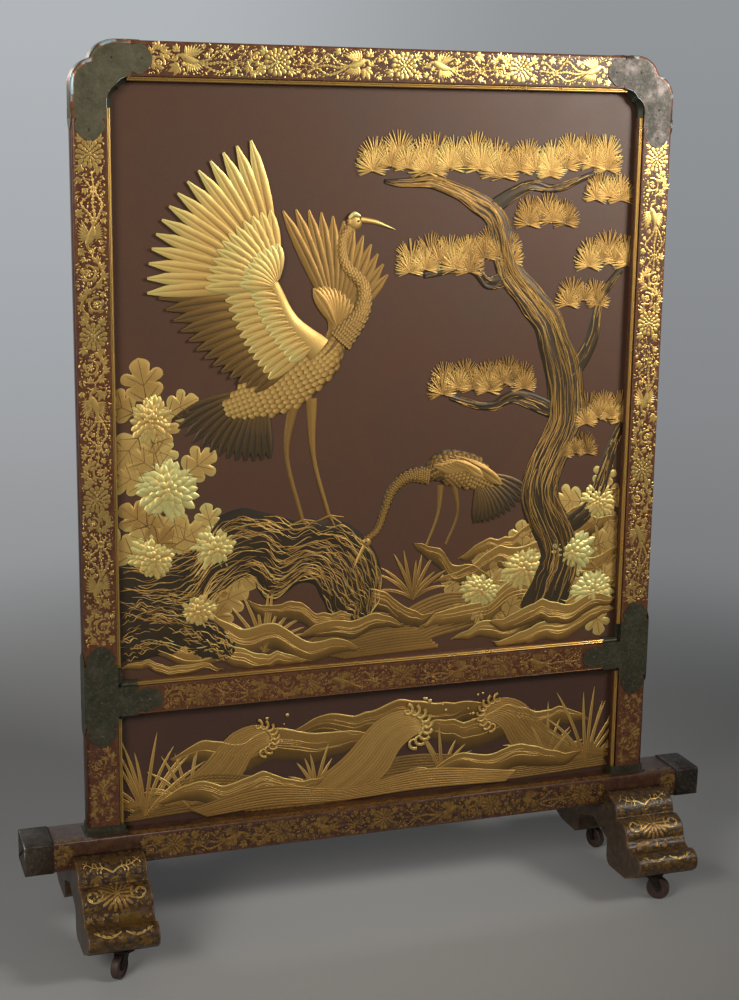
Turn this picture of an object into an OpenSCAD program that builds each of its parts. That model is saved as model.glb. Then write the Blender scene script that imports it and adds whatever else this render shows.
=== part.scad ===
// Standing screen: a lacquered frame with two panels on a long beam with scrolled feet and casters.
// Millimetres. X runs along the screen, Y goes to its back, Z is up, and the origin is on the floor.

/* [Frame] */
// Width over both stiles
frame_w = 1000; // [800:1:1400]
// Height of the frame above the beam
frame_h = 1248.4; // [900:0.1:1700]
// Thickness of the stiles and rails, front to back
frame_t = 35; // [30:1:60]
// Width of a stile and height of the top rail, with the bead step
stile_w = 59; // [54:1:80]
// Height of the lower opening
lower_h = 197.8; // [140:0.1:300]
// Height of the middle rail, with the bead step
mid_rail_h = 53.5; // [46:0.5:90]

/* [Corners] */
// Radius of the two lobes at an outer corner
lobe_r = 40; // [30:1:55]
// Length by which an outer lobe's centre lies beyond its radius
lobe_run = 27; // [15:1:35]
// Radius of the two lobes at an inner corner, at the face
inner_lobe_r = 25; // [18:1:35]
// Length by which an inner lobe's centre lies beyond its radius
inner_lobe_run = 11; // [6:1:16]

/* [Beads] */
// Width of the step along the inner edges
bead_w = 7; // [5:0.5:9]
// Depth of that step behind the face
bead_step = 7; // [5:0.5:10]
// Height of the bead on its step
bead_rise = 4; // [3.5:0.1:5]
// Gap at each side of a bead
bead_gap = 0.3; // [0.1:0.05:0.5]

/* [Panels] */
// Thickness of a panel
panel_t = 9; // [6:0.5:12]
// Depth of a panel's face behind the frame's face
panel_set = 17.5; // [14:0.5:18]
// Depth of the grooves that hold the panels
groove_d = 8; // [4:0.5:10]
// Gap round a panel in its grooves
groove_gap = 0.15; // [0.05:0.05:0.3]

/* [Beam] */
// Length of the wooden beam beyond the frame at each end
beam_over = 104.8; // [100:0.1:300]
// Depth of the beam, front to back
beam_d = 77; // [60:1:110]
// Height of the beam
beam_h = 49; // [44:1:80]
// Height of the beam's underside above the floor
beam_z = 143.2; // [130:0.1:200]

/* [Feet] */
// Width of a foot along the screen
foot_w = 113; // [90:1:150]
// Distance of a foot's middle inside the frame's outer edge
foot_in = 26.5; // [20:0.5:45]
// Distance of the toe scroll's centre from the middle of the foot
toe_y = 165; // [155:1:220]
// Radius of the toe scroll
toe_r = 19.5; // [15:0.5:22]
// Height of the toe scroll's centre
toe_z = 79; // [74:1:84]
// Length of the toe's underside in front of the scroll's centre
toe_lip = 7; // [3:0.5:9]
// Height of the front half's underside above the floor
foot_under = 39; // [36:0.5:44]
// Depth to which the rear caster plates are let into the wood
rear_inlay = 1; // [0.5:0.1:3]
// Distance from the foot's middle at which its underside starts to rise
rise_y = 128; // [120:1:135]
// Height by which a foot clasps the beam's sides
cheek_h = 25.3; // [15:0.1:35]
// Thickness of the cheek on each side of the beam
cheek_t = 20; // [12:0.5:26]
// Radius of the upper lobe, outside the cheek
upper_lobe_r = 33; // [26:1:36]
// Radius of the lower lobe
lower_lobe_r = 30; // [24:1:33]
// Distance between the centres of the lower lobe and the toe scroll, along the foot
lobe_step = 63; // [55:1:70]
// Height of the lower lobe's centre above the toe scroll's
lobe_up = 29; // [22:1:34]
// Radius of the hollow above the toe scroll
hollow_r = 18; // [12:1:20]
// Distance of the hollow's centre behind the toe scroll's, along the foot
hollow_in = 14; // [10:1:18]
// Height of the hollow's centre above the toe scroll's
hollow_up = 34; // [30:1:40]
// Half the width of the arch under a foot
arch_half = 57; // [40:1:60]
// Height of the arch's shoulders above the front underside
arch_side = 46; // [36:1:56]
// Height of the arch's peak above the front underside
arch_rise = 67; // [58:1:72]
// Radius at which the arch's walls turn into the underside
flare_r = 18; // [5:1:20]

/* [Joinery] */
// Thickness of the tenons
tenon_t = 12; // [8:1:16]
// Length of the middle rail's tenons
rail_tenon_l = 30; // [15:1:40]
// Wood left beyond a top rail's tenon, at the lobe of the corner
corner_wall = 3.5; // [2:0.5:8]
// Height of a top rail's tenon
corner_tenon_h = 14; // [8:1:18]
// Width of a stile's tenon in the beam
foot_tenon_w = 36; // [20:1:40]
// Length of a stile's tenon in the beam
foot_tenon_l = 36; // [20:1:40]
// Distance between a tenon and the panel grooves near it
tenon_clear = 2; // [1:0.5:4]
// Gap round a tenon in its mortise
tenon_gap = 0.1; // [0.05:0.05:0.2]
// Diameter of the dowels between foot and beam
dowel_d = 12; // [8:1:16]
// Length of those dowels
dowel_l = 40; // [30:1:60]
// Distance between the two dowels of a foot
dowel_pitch = 50; // [36:1:56]

/* [Metal mounts] */
// Thickness of the sheet metal
sheet_t = 1.2; // [0.8:0.1:2]
// Length of a corner mount's arm down the stile, without its lobed head
arm_down = 115; // [100:1:150]
// Length of its arm along the top rail, without its lobed head
arm_along = 91; // [80:1:130]
// Length of the lobed heads
head_l = 32; // [24:1:40]
// Width of the heads on stiles and top rail
head_w = 46; // [38:1:50]
// Width of the heads on the middle rail
rail_head_w = 40; // [32:1:46]
// Length of the heads on the middle rail
rail_head_l = 41; // [30:1:50]
// Length of a corner's metal lining down the stile, from the sight edge
lining_down = 40; // [34:1:60]
// Length of that lining along the top rail
lining_along = 25.5; // [24:0.5:50]
// Height of a tee mount's arm above the middle rail
tee_up = 32; // [20:1:60]
// Height of a tee mount's arm below the middle rail
tee_down = 17; // [5:1:30]
// Length of a tee mount's arm along the middle rail
tee_arm = 25; // [20:1:60]
// Length of the metal that takes the bead's place on the middle rail
tee_lining = 26; // [18:1:28]
// Height by which that metal stands above a bead
ridge_rise = 1.5; // [0.5:0.1:2]
// Height of the shoe round a stile's base
shoe_h = 12; // [6:1:25]
// Width of the shoe's flange on the beam
shoe_flange = 6; // [3:0.5:15]
// Length of the caps on the beam's ends
cap_l = 46; // [20:1:52]
// Diameter of the nails' shanks
nail_d = 1.6; // [1:0.1:2]
// Length of the nails in the wood
nail_l = 10; // [5:1:12]
// Diameter of the nails' heads
nail_head_d = 4; // [3:0.1:6]

/* [Casters] */
// Diameter of the wheels
wheel_d = 40; // [30:0.5:44]
// Width of the wheels
wheel_w = 13; // [9:0.5:16]
// Radius of the edges of a wheel's tread
tread_r = 3; // [1:0.5:4]
// Height of a wheel's rim, outside its hollows
rim_h = 4; // [3:0.5:5]
// Depth of the hollow in each side of a wheel
dish_d = 1.5; // [0.5:0.1:2.5]
// Height by which a wheel's hub stands out round the fork's eye
hub_lip = 1; // [0.5:0.1:2]
// Distance between a wheel's axle and its swivel axis
trail = 12; // [8:0.5:14]
// Distance of the swivel axes inside the foot's middle, along X
caster_in = 5; // [0:0.5:15]
// Distance of the front swivel axes from the foot's middle, along Y
front_caster_y = 133; // [120:0.5:135]
// Distance of the rear swivel axes from the foot's middle, along Y
rear_caster_y = 106; // [98:0.5:110]
// Diameter of the axles
axle_d = 5; // [4:0.5:6]
// Thickness of the riveted heads on an axle's ends
rivet_h = 1.2; // [0.6:0.1:2]
// Distance by which such a head is wider than its axle
rivet_over = 2; // [1:0.5:3]
// Diameter of the swivel stems
stem_d = 8; // [6:0.5:10]
// Thickness of the riveted head on a stem, above its socket
stem_head_h = 2; // [1:0.5:3]
// Distance of that head's edge inside the socket's
stem_head_in = 1; // [0.5:0.1:1.5]
// Length of the stem's socket above the plate
socket_l = 18; // [12:1:24]
// Wall of that socket
socket_wall = 2.5; // [2:0.25:3.5]
// Radial gap of the axles and stems in their bores
bearing_gap = 0.05; // [0.02:0.01:0.1]
// Gap between parts that turn past each other
run_gap = 0.3; // [0.2:0.05:0.5]
// Thickness of a fork's arms
arm_t = 2.2; // [1.5:0.1:3]
// Thickness of a fork's crown
crown_t = 4; // [3:0.5:6]
// Radius of a fork's crown
crown_r = 10.5; // [9:0.5:12]
// Metal round the axle in a fork's arms
eye_wall = 2.8; // [2:0.1:4]
// Gap between a wheel and its fork's crown
wheel_gap = 1; // [0.5:0.1:1.5]
// Gap between a wheel and its fork's arms
side_gap = 0.5; // [0.3:0.1:1]
// Diameter of the plates
plate_d = 42; // [38:1:50]
// Thickness of the plates
plate_t = 3.2; // [2.5:0.1:4]
// Gap round a plate in its pocket
plate_gap = 0.3; // [0.1:0.05:0.5]
// Distance of the plate screws from the plate's edge
screw_in = 5; // [4:0.5:6]
// Diameter of the plate screws
screw_d = 3; // [2:0.1:3.5]
// Length of the plate screws
screw_l = 16; // [8:1:20]

/* [Hidden] */
$fn = 64;

// Colours
lacquer_red = "#5a2418";
lacquer_black = "#2a1712";
lacquer_plum = "#4a2f2a";
gold = "#b8862f";
copper_patina = "#57584a";
dark_iron = "#33302d";
wheel_brown = "#4b3226";
oak = "#8a6a44";

// Frame, seen from the front
beam_top = beam_z + beam_h;
frame_top = beam_top + frame_h;
face_y = -frame_t / 2;
back_y = frame_t / 2;
step_y = face_y + bead_step;
panel_y = face_y + panel_set;
panel_back = panel_y + panel_t;
outer_half = frame_w / 2;
beam_half = outer_half + beam_over;
sight_half = outer_half - stile_w;
sight_top = frame_top - stile_w;
mid_low = beam_top + lower_h;
mid_high = mid_low + mid_rail_h;
face_half = sight_half + bead_w;
face_top = sight_top + bead_w;
face_mid = mid_high - bead_w;
past = 1;

// Joinery
tenon_y = (panel_y + panel_back) / 2;
stile_mid = (sight_half + outer_half) / 2;
corner_low = sight_top + groove_d + tenon_clear;
corner_rise = corner_low + corner_tenon_h - frame_top + lobe_r + lobe_run;
corner_reach = outer_half - lobe_r + sqrt(lobe_r * lobe_r - corner_rise * corner_rise) - corner_wall;
dowel_y = dowel_pitch / 2;

// Metal mounts
arm_low = frame_top - arm_down;
arm_in = outer_half - arm_along;
lining_low = sight_top - lining_down;
lining_in = sight_half - lining_along;
tee_high = mid_high + tee_up;
tee_low = mid_low - tee_down;
tee_in = sight_half - tee_arm;
tee_lining_in = sight_half - tee_lining;
tee_lining_high = mid_high + tee_lining;
tee_lining_low = mid_low - bead_w;
rail_mid = (mid_low + face_mid) / 2;
top_mid = (face_top + frame_top) / 2;
face_mid_x = (face_half + outer_half) / 2;
band_r = frame_t / 2 + sheet_t;

// Feet
foot_x = outer_half - foot_in;
caster_x = foot_x - caster_in;

// Casters: each swivel's place, and the way in which its wheel trails at rest
FRONT_LEFT = [-caster_x, -front_caster_y, 232];
FRONT_RIGHT = [caster_x, -front_caster_y, -30];
REAR_LEFT = [-caster_x, rear_caster_y, 200];
REAR_RIGHT = [caster_x, rear_caster_y, -75];
axle_z = wheel_d / 2;
crown_z = wheel_d + wheel_gap;
crown_top = crown_z + crown_t;
plate_z = crown_top + run_gap;
plate_top = plate_z + plate_t;
rear_under = plate_top - rear_inlay;
socket_top = plate_top + socket_l;
stem_top = socket_top + run_gap + stem_head_h;
bore_r = stem_d / 2 + bearing_gap;
socket_r = bore_r + socket_wall;
arm_out_y = wheel_w / 2 + side_gap + arm_t;
boss_r = axle_d / 2 + eye_wall;
screw_ring = plate_d / 2 - screw_in;
screw_head_r = screw_d;
screw_head_h = screw_d * 0.6;

// Draws a front view between two depths
module face_slab(y0, y1) {
    translate([0, y1, 0]) rotate([90, 0, 0]) linear_extrude(y1 - y0) children();
}

// Draws a side view between two places along X
module side_slab(x0, x1) {
    translate([x0, 0, 0]) rotate([90, 0, 90]) linear_extrude(x1 - x0) children();
}

module mirrored(side) {
    if (side < 0) mirror([1, 0, 0]) children();
    else children();
}

// A plain rectangle whose two upper corners each have two lobes that meet in a cusp
module lobed_rect(half, low, high, r, run) {
    s = r + run;
    translate([-half, low]) square([2 * half, high - low - s]);
    translate([s - half, low]) square([2 * (half - s), high - low]);
    for (side = [-1, 1]) mirrored(side) translate([half - s, high - s]) intersection() {
        square(s);
        union() {
            square(run);
            translate([run, 0]) circle(r);
            translate([0, run]) circle(r);
        }
    }
}

module outline(e = 0) {
    lobed_rect(outer_half + e, beam_top, frame_top + e, lobe_r + e, lobe_run);
}

// Both openings, drawn in by e from the inner edges of the face
module openings(e) {
    lobed_rect(face_half - e, face_mid + e, face_top - e, inner_lobe_r - e, inner_lobe_run);
    translate([e - face_half, beam_top - past])
        square([2 * (face_half - e), mid_low - max(0, e - bead_w) - beam_top + past]);
}

module frame_wood() {
    difference() {
        face_slab(face_y, back_y) outline();
        face_slab(face_y - past, step_y) openings(0);
        face_slab(step_y - past, back_y + past) openings(bead_w);
    }
}

module panel_box(low, high, gap) {
    half = sight_half + groove_d + gap;
    translate([-half, panel_y - gap, low - groove_d - gap])
        cube([2 * half, panel_t + 2 * gap, high - low + 2 * (groove_d + gap)]);
}

module panel_grooves() {
    panel_box(mid_high, sight_top, groove_gap);
    panel_box(beam_top, mid_low, groove_gap);
}

module mid_tenon(gap) {
    low = mid_low + groove_d + tenon_clear - gap;
    high = mid_high - groove_d - tenon_clear + gap;
    reach = sight_half + rail_tenon_l + gap;
    translate([-reach, tenon_y - tenon_t / 2 - gap, low]) cube([2 * reach, tenon_t + 2 * gap, high - low]);
}

module corner_tenon(gap) {
    reach = corner_reach + gap;
    translate([-reach, tenon_y - tenon_t / 2 - gap, corner_low - gap])
        cube([2 * reach, tenon_t + 2 * gap, corner_tenon_h + 2 * gap]);
}

module foot_tenon(gap) {
    translate([stile_mid - foot_tenon_w / 2 - gap, -tenon_t / 2 - gap, beam_top - foot_tenon_l - gap])
        cube([foot_tenon_w + 2 * gap, tenon_t + 2 * gap, foot_tenon_l + gap]);
}

// The stile's share of the frame: it meets the top rail on the diagonal of the corner
module stile_share() {
    reach = stile_w + inner_lobe_r + inner_lobe_run;
    polygon([
        [sight_half, beam_top - past], [outer_half + past, beam_top - past],
        [outer_half + past, frame_top + past], [outer_half - reach, frame_top - reach],
        [sight_half, frame_top - reach]
    ]);
}

module rail_share() {
    reach = stile_w + inner_lobe_r + inner_lobe_run;
    polygon([
        [-outer_half - past, frame_top + past], [outer_half + past, frame_top + past],
        [outer_half - reach, frame_top - reach], [reach - outer_half, frame_top - reach]
    ]);
}

module stile(side) {
    color(lacquer_red) mirrored(side) difference() {
        union() {
            intersection() {
                frame_wood();
                face_slab(face_y - past, back_y + past) stile_share();
            }
            foot_tenon(0);
        }
        panel_grooves();
        mid_tenon(tenon_gap);
        corner_tenon(tenon_gap);
        nail_sites() nail_bore();
    }
}

module top_rail() {
    color(lacquer_red) difference() {
        union() {
            intersection() {
                frame_wood();
                face_slab(face_y - past, back_y + past) rail_share();
            }
            corner_tenon(0);
        }
        panel_grooves();
        for (side = [-1, 1]) mirrored(side) nail_sites() nail_bore();
    }
}

module mid_rail() {
    color(lacquer_red) difference() {
        union() {
            intersection() {
                frame_wood();
                translate([-sight_half, face_y - past, mid_low])
                    cube([2 * sight_half, frame_t + 2 * past, mid_rail_h]);
            }
            mid_tenon(0);
        }
        panel_grooves();
        for (side = [-1, 1]) mirrored(side) nail_sites() nail_bore();
    }
}

module upper_panel() {
    color(lacquer_plum) panel_box(mid_high, sight_top, 0);
}

module lower_panel() {
    color(lacquer_plum) panel_box(beam_top, mid_low, 0);
}

// Half-round bead, drawn across its step, with its seat at y = 0
module bead_profile(rise) {
    w = bead_w - 2 * bead_gap;
    r = w / 2;
    translate([bead_gap, -(rise - r)]) square([w, rise - r]);
    intersection() {
        translate([bead_gap + r, -(rise - r)]) circle(r);
        translate([bead_gap, -rise]) square([w, rise]);
    }
}

module upright_bead(side, low, high) {
    color(gold) mirrored(side) translate([sight_half, step_y, low]) linear_extrude(high - low)
        bead_profile(bead_rise);
}

// A bead along X, on a step whose lower edge is at z
module level_bead(z, x0, x1, rise) {
    translate([x0, step_y, z]) rotate([90, 0, 90]) linear_extrude(x1 - x0) rotate(-90) mirror([1, 0])
        bead_profile(rise);
}

// A lobed head of width w and length l, whose root is at the origin and whose tip points down
module mount_head(w, l) {
    side_r = w * 0.25;
    tip_r = w * 0.41;
    neck_w = w * 0.84;
    neck_l = l * 0.36;
    translate([-neck_w / 2, -neck_l]) square([neck_w, neck_l]);
    for (side = [-1, 1]) translate([side * (w / 2 - side_r), -neck_l]) circle(side_r);
    translate([0, tip_r - l]) circle(tip_r);
}

// Front view of a corner mount at one depth, where e is the offset of its inner edge
module corner_plate(e) {
    inner_half = face_half - e;
    difference() {
        intersection() {
            outline(sheet_t);
            translate([arm_in, arm_low]) square([arm_along + stile_w, arm_down + stile_w]);
        }
        openings(e);
    }
    translate([(inner_half + outer_half) / 2, arm_low]) mount_head(head_w, head_l);
    translate([arm_in, (face_top - e + frame_top) / 2]) rotate(-90) mount_head(head_w, head_l);
}

// Sheet between two offsets of the openings, over a range of depths
module lining(e0, e1, y0, y1) {
    face_slab(y0, y1) difference() {
        openings(e0);
        openings(e1);
    }
}

// All sheet that lines the step and the reveal, front and back
module linings() {
    lining(0, sheet_t, face_y - sheet_t, step_y);
    lining(0, bead_w + sheet_t, step_y - sheet_t, step_y);
    lining(bead_w, bead_w + sheet_t, step_y - sheet_t, panel_y);
    lining(bead_w, bead_w + sheet_t, panel_back, back_y + sheet_t);
}

module corner_mount(side) {
    color(copper_patina) mirrored(side) difference() {
        union() {
            face_slab(face_y - sheet_t, face_y) corner_plate(sheet_t);
            face_slab(back_y, back_y + sheet_t) corner_plate(bead_w + sheet_t);
            intersection() {
                face_slab(face_y - sheet_t, back_y + sheet_t) difference() {
                    outline(sheet_t);
                    outline(0);
                }
                union() {
                    translate([arm_in, -frame_t, arm_low])
                        cube([arm_along + stile_w, 2 * frame_t, arm_down + stile_w]);
                    translate([0, 0, arm_low]) rotate([0, 90, 0]) cylinder(r = band_r, h = frame_w);
                    translate([arm_in, 0, arm_low]) cylinder(r = band_r, h = frame_h);
                }
            }
            intersection() {
                linings();
                translate([lining_in, -frame_t, lining_low]) cube([stile_w * 3, 2 * frame_t, stile_w * 3]);
            }
        }
        nail_sites() nail_bore();
    }
}

module tee_plate(e) {
    difference() {
        union() {
            translate([tee_in, tee_low]) square([tee_arm + stile_w + sheet_t, tee_high - tee_low]);
            translate([tee_in, mid_low]) square([tee_arm + stile_w, mid_rail_h]);
        }
        openings(e);
    }
    for (end = [0, 1]) translate([face_mid_x, end == 0 ? tee_low : tee_high]) mirror([0, end])
        mount_head(head_w, head_l);
    translate([tee_in, rail_mid]) rotate(-90) mount_head(rail_head_w, rail_head_l);
}

module tee_mount(side) {
    color(copper_patina) mirrored(side) difference() {
        union() {
            face_slab(face_y - sheet_t, face_y) tee_plate(sheet_t);
            face_slab(back_y, back_y + sheet_t) tee_plate(bead_w + sheet_t);
            side_slab(outer_half, outer_half + sheet_t) {
                translate([-band_r, tee_low]) square([2 * band_r, tee_high - tee_low]);
                translate([0, tee_low]) circle(band_r);
                translate([0, tee_high]) circle(band_r);
            }
            intersection() {
                linings();
                translate([tee_lining_in, -frame_t, tee_lining_low])
                    cube([2 * stile_w, 2 * frame_t, tee_lining_high - tee_lining_low]);
            }
            translate([tee_lining_in, face_y - sheet_t, mid_low - sheet_t])
                cube([tee_lining, panel_set + sheet_t, sheet_t]);
            level_bead(face_mid, tee_lining_in, sight_half, bead_rise + ridge_rise);
        }
        nail_sites() nail_bore();
    }
}

// A thin collar round a stile's base with a flange on the beam
module stile_shoe(side) {
    color(copper_patina) mirrored(side) difference() {
        union() {
            shoe_box(sheet_t, shoe_h);
            shoe_box(shoe_flange, sheet_t);
        }
        translate([0, 0, -past]) shoe_box(0, shoe_h + 2 * past);
        panel_box(beam_top, mid_low, groove_gap);
    }
}

module shoe_box(grow, h) {
    translate([sight_half - grow, face_y - grow, beam_top])
        cube([stile_w + 2 * grow, frame_t + 2 * grow, h]);
}

// Places of the nails on the right-hand side: two mounts, front and back
module nail_sites() {
    sites = [
        [face_mid_x, arm_low - head_l / 2], [arm_in - head_l / 2, top_mid],
        [face_mid_x, arm_low + stile_w / 2], [arm_in + stile_w / 2, top_mid],
        [face_mid_x, tee_low - head_l / 2], [face_mid_x, tee_high + head_l / 2],
        [face_mid_x, rail_mid], [tee_in - rail_head_l / 2, rail_mid]
    ];
    for (p = sites) translate([p[0], 0, p[1]]) {
        translate([0, face_y, 0]) rotate([90, 0, 0]) children();
        translate([0, back_y, 0]) rotate([-90, 0, 0]) children();
    }
}

// A nail points away from the wood: its shank is below z = 0
module nail() {
    translate([0, 0, -nail_l]) cylinder(d = nail_d, h = nail_l + sheet_t);
    translate([0, 0, sheet_t]) cylinder(d1 = nail_head_d, d2 = nail_head_d * 0.5, h = nail_d / 2);
}

module nail_bore() {
    translate([0, 0, -nail_l - tenon_gap]) cylinder(d = nail_d + tenon_gap, h = nail_l + 4 * sheet_t);
}

module mount_nails() {
    color(copper_patina) for (side = [-1, 1]) mirrored(side) nail_sites() nail();
}

module base_beam() {
    color(lacquer_red) difference() {
        translate([-beam_half, -beam_d / 2, beam_z]) cube([2 * beam_half, beam_d, beam_h]);
        panel_box(beam_top, mid_low, groove_gap);
        for (side = [-1, 1]) mirrored(side) {
            translate([0, 0, past]) foot_tenon(tenon_gap);
            foot_tenon(tenon_gap);
            dowel_sites() dowel(tenon_gap);
        }
    }
}

module beam_cap(side) {
    color(copper_patina) mirrored(side) difference() {
        translate([beam_half - cap_l + sheet_t, -beam_d / 2 - sheet_t, beam_z - sheet_t])
            cube([cap_l, beam_d + 2 * sheet_t, beam_h + 2 * sheet_t]);
        translate([0, -beam_d / 2, beam_z]) cube([beam_half, beam_d, beam_h]);
    }
}

module dowel_sites() {
    for (y = [-dowel_y, dowel_y]) translate([foot_x, y, beam_z]) children();
}

module dowel(gap) {
    translate([0, 0, -dowel_l / 2 - gap]) cylinder(d = dowel_d + gap, h = dowel_l + 2 * gap);
}

module foot_dowels() {
    color(oak) for (side = [-1, 1]) mirrored(side) dowel_sites() dowel(0);
}

// Side view of one half of a foot, from its middle to the toe, with its underside at height under
module foot_half(under) {
    cheek_y = beam_d / 2 + cheek_t;
    cheek_z = beam_z + cheek_h;
    upper_z = cheek_z - upper_lobe_r;
    lower_y = toe_y - lobe_step;
    lower_z = toe_z + lobe_up;
    difference() {
        union() {
            polygon([
                [0, under], [rise_y, under], [toe_y + toe_lip, toe_z - toe_r],
                [toe_y, toe_z + toe_r], [lower_y + lower_lobe_r, lower_z], [lower_y, lower_z + lower_lobe_r],
                [cheek_y + upper_lobe_r, upper_z], [cheek_y, cheek_z], [0, cheek_z]
            ]);
            translate([cheek_y, upper_z]) circle(upper_lobe_r);
            translate([lower_y, lower_z]) circle(lower_lobe_r);
            translate([toe_y, toe_z]) circle(toe_r);
        }
        translate([toe_y - hollow_in, toe_z + hollow_up]) circle(hollow_r);
        foot_arch(under);
    }
}

// Half of the arch: a low gable on upright walls that turn into the underside
module foot_arch(under) {
    polygon([
        [-past, 0], [arch_half, 0], [arch_half, foot_under + arch_side],
        [0, foot_under + arch_rise], [-past, foot_under + arch_rise]
    ]);
    difference() {
        square([arch_half + flare_r, under + flare_r]);
        translate([arch_half + flare_r, under + flare_r]) circle(flare_r);
    }
}

module foot(side) {
    color(lacquer_black) mirrored(side) difference() {
        side_slab(foot_x - foot_w / 2, foot_x + foot_w / 2) difference() {
            union() {
                mirror([1, 0]) foot_half(foot_under);
                foot_half(rear_under);
            }
            translate([-beam_d / 2, beam_z]) square([beam_d, beam_h]);
        }
        dowel_sites() dowel(tenon_gap);
        for (y = [-front_caster_y, rear_caster_y]) translate([caster_x, y, 0]) caster_pocket();
    }
}

module caster_pocket() {
    cylinder(d = plate_d + 2 * plate_gap, h = plate_top);
    cylinder(r = socket_r + plate_gap, h = stem_top + run_gap);
    screw_holes(screw_d + 2 * bearing_gap, plate_top + screw_l);
}

module screw_holes(d, h) {
    for (a = [45 : 90 : 315]) rotate(a) translate([screw_ring, 0, 0]) cylinder(d = d, h = h);
}

// Places a piece at a caster, turned so that its wheel trails along local +X
module at_caster(caster) {
    at_plate(caster) rotate(caster[2]) children();
}

// Places a piece at a caster without turning it
module at_plate(caster) {
    translate([caster[0], caster[1], 0]) children();
}

module caster_plate(caster) {
    color(dark_iron) at_plate(caster) difference() {
        union() {
            translate([0, 0, plate_z]) cylinder(d = plate_d, h = plate_t);
            translate([0, 0, plate_z]) cylinder(r = socket_r, h = socket_top - plate_z);
        }
        cylinder(r = bore_r, h = stem_top);
        translate([0, 0, -past]) screw_holes(screw_d + 2 * bearing_gap, plate_top + 2 * past);
        screw_sinks(bearing_gap);
    }
}

// The cones in which the screw heads lie
module screw_sinks(gap) {
    for (a = [45 : 90 : 315]) rotate(a) translate([screw_ring, 0, plate_z])
        cylinder(r1 = screw_head_r + gap, r2 = screw_d / 2 + gap, h = screw_head_h);
}

module caster_screws() {
    color(dark_iron) for (caster = [FRONT_LEFT, FRONT_RIGHT, REAR_LEFT, REAR_RIGHT]) at_plate(caster) {
        screw_sinks(0);
        for (a = [45 : 90 : 315]) rotate(a) translate([screw_ring, 0, plate_z])
            cylinder(d = screw_d, h = screw_l);
    }
}

module caster_fork(caster) {
    color(dark_iron) at_caster(caster) difference() {
        union() {
            translate([0, 0, crown_z]) cylinder(r = crown_r, h = crown_t);
            translate([-crown_r * 0.7, -arm_out_y, crown_z]) cube([crown_r * 1.7, 2 * arm_out_y, crown_t]);
            for (side = [0, 1]) mirror([0, side, 0]) translate([0, arm_out_y, 0]) rotate([90, 0, 0])
                linear_extrude(arm_t) fork_arm();
            translate([0, 0, crown_z]) cylinder(d = stem_d, h = stem_top - crown_z);
            translate([0, 0, stem_top - stem_head_h]) cylinder(r = socket_r - stem_head_in, h = stem_head_h);
        }
        translate([trail, arm_out_y + past, axle_z]) rotate([90, 0, 0])
            cylinder(d = axle_d + 2 * bearing_gap, h = 2 * (arm_out_y + past));
    }
}

module fork_arm() {
    polygon([
        [-crown_r * 0.7, crown_top], [crown_r, crown_top], [crown_r, crown_z],
        [trail + boss_r, axle_z], [trail - boss_r, axle_z], [-crown_r * 0.7, crown_z]
    ]);
    translate([trail, axle_z]) circle(boss_r);
}

module caster_axle(caster) {
    color(dark_iron) at_caster(caster) translate([trail, 0, axle_z]) rotate([90, 0, 0]) {
        translate([0, 0, -arm_out_y]) cylinder(d = axle_d, h = 2 * arm_out_y);
        for (end = [0, 1]) mirror([0, 0, end]) translate([0, 0, arm_out_y])
            cylinder(d = axle_d + rivet_over, h = rivet_h);
    }
}

// A turned wheel with a rounded tread and a hollow round its hub
module caster_wheel(caster) {
    r = wheel_d / 2;
    half = wheel_w / 2;
    bore = axle_d / 2 + bearing_gap;
    hub = boss_r + hub_lip;
    rim = r - rim_h;
    color(wheel_brown) at_caster(caster) translate([trail, 0, axle_z]) rotate([90, 0, 0]) rotate_extrude() {
        difference() {
            union() {
                translate([bore, -half]) square([r - tread_r - bore, wheel_w]);
                translate([bore, tread_r - half]) square([r - bore, wheel_w - 2 * tread_r]);
                for (end = [-1, 1]) translate([r - tread_r, end * (half - tread_r)]) circle(tread_r);
            }
            translate([hub, half - dish_d]) square([rim - hub, dish_d + past]);
            translate([hub, -half - past]) square([rim - hub, dish_d + past]);
        }
    }
}

base_beam();
beam_cap(-1);  // beam_cap_left
beam_cap(1);  // beam_cap_right
foot(-1);  // foot_left
foot(1);  // foot_right
foot_dowels();
stile(-1);  // left_stile
stile(1);  // right_stile
top_rail();
mid_rail();
upper_panel();
lower_panel();
color(gold) level_bead(sight_top, -lining_in, lining_in, bead_rise);  // upper_bead_top
color(gold) level_bead(face_mid, -tee_lining_in, tee_lining_in, bead_rise);  // upper_bead_bottom
upright_bead(-1, tee_lining_high, lining_low);  // upper_bead_left
upright_bead(1, tee_lining_high, lining_low);  // upper_bead_right
upright_bead(-1, beam_top, tee_lining_low);  // lower_bead_left
upright_bead(1, beam_top, tee_lining_low);  // lower_bead_right
corner_mount(-1);  // corner_mount_left
corner_mount(1);  // corner_mount_right
tee_mount(-1);  // tee_mount_left
tee_mount(1);  // tee_mount_right
stile_shoe(-1);  // stile_shoe_left
stile_shoe(1);  // stile_shoe_right
mount_nails();
caster_plate(FRONT_LEFT);  // caster_plate_front_left
caster_plate(FRONT_RIGHT);  // caster_plate_front_right
caster_plate(REAR_LEFT);  // caster_plate_rear_left
caster_plate(REAR_RIGHT);  // caster_plate_rear_right
caster_screws();
caster_fork(FRONT_LEFT);  // caster_fork_front_left
caster_fork(FRONT_RIGHT);  // caster_fork_front_right
caster_fork(REAR_LEFT);  // caster_fork_rear_left
caster_fork(REAR_RIGHT);  // caster_fork_rear_right
caster_axle(FRONT_LEFT);  // caster_axle_front_left
caster_axle(FRONT_RIGHT);  // caster_axle_front_right
caster_axle(REAR_LEFT);  // caster_axle_rear_left
caster_axle(REAR_RIGHT);  // caster_axle_rear_right
caster_wheel(FRONT_LEFT);  // caster_wheel_front_left
caster_wheel(FRONT_RIGHT);  // caster_wheel_front_right
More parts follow.
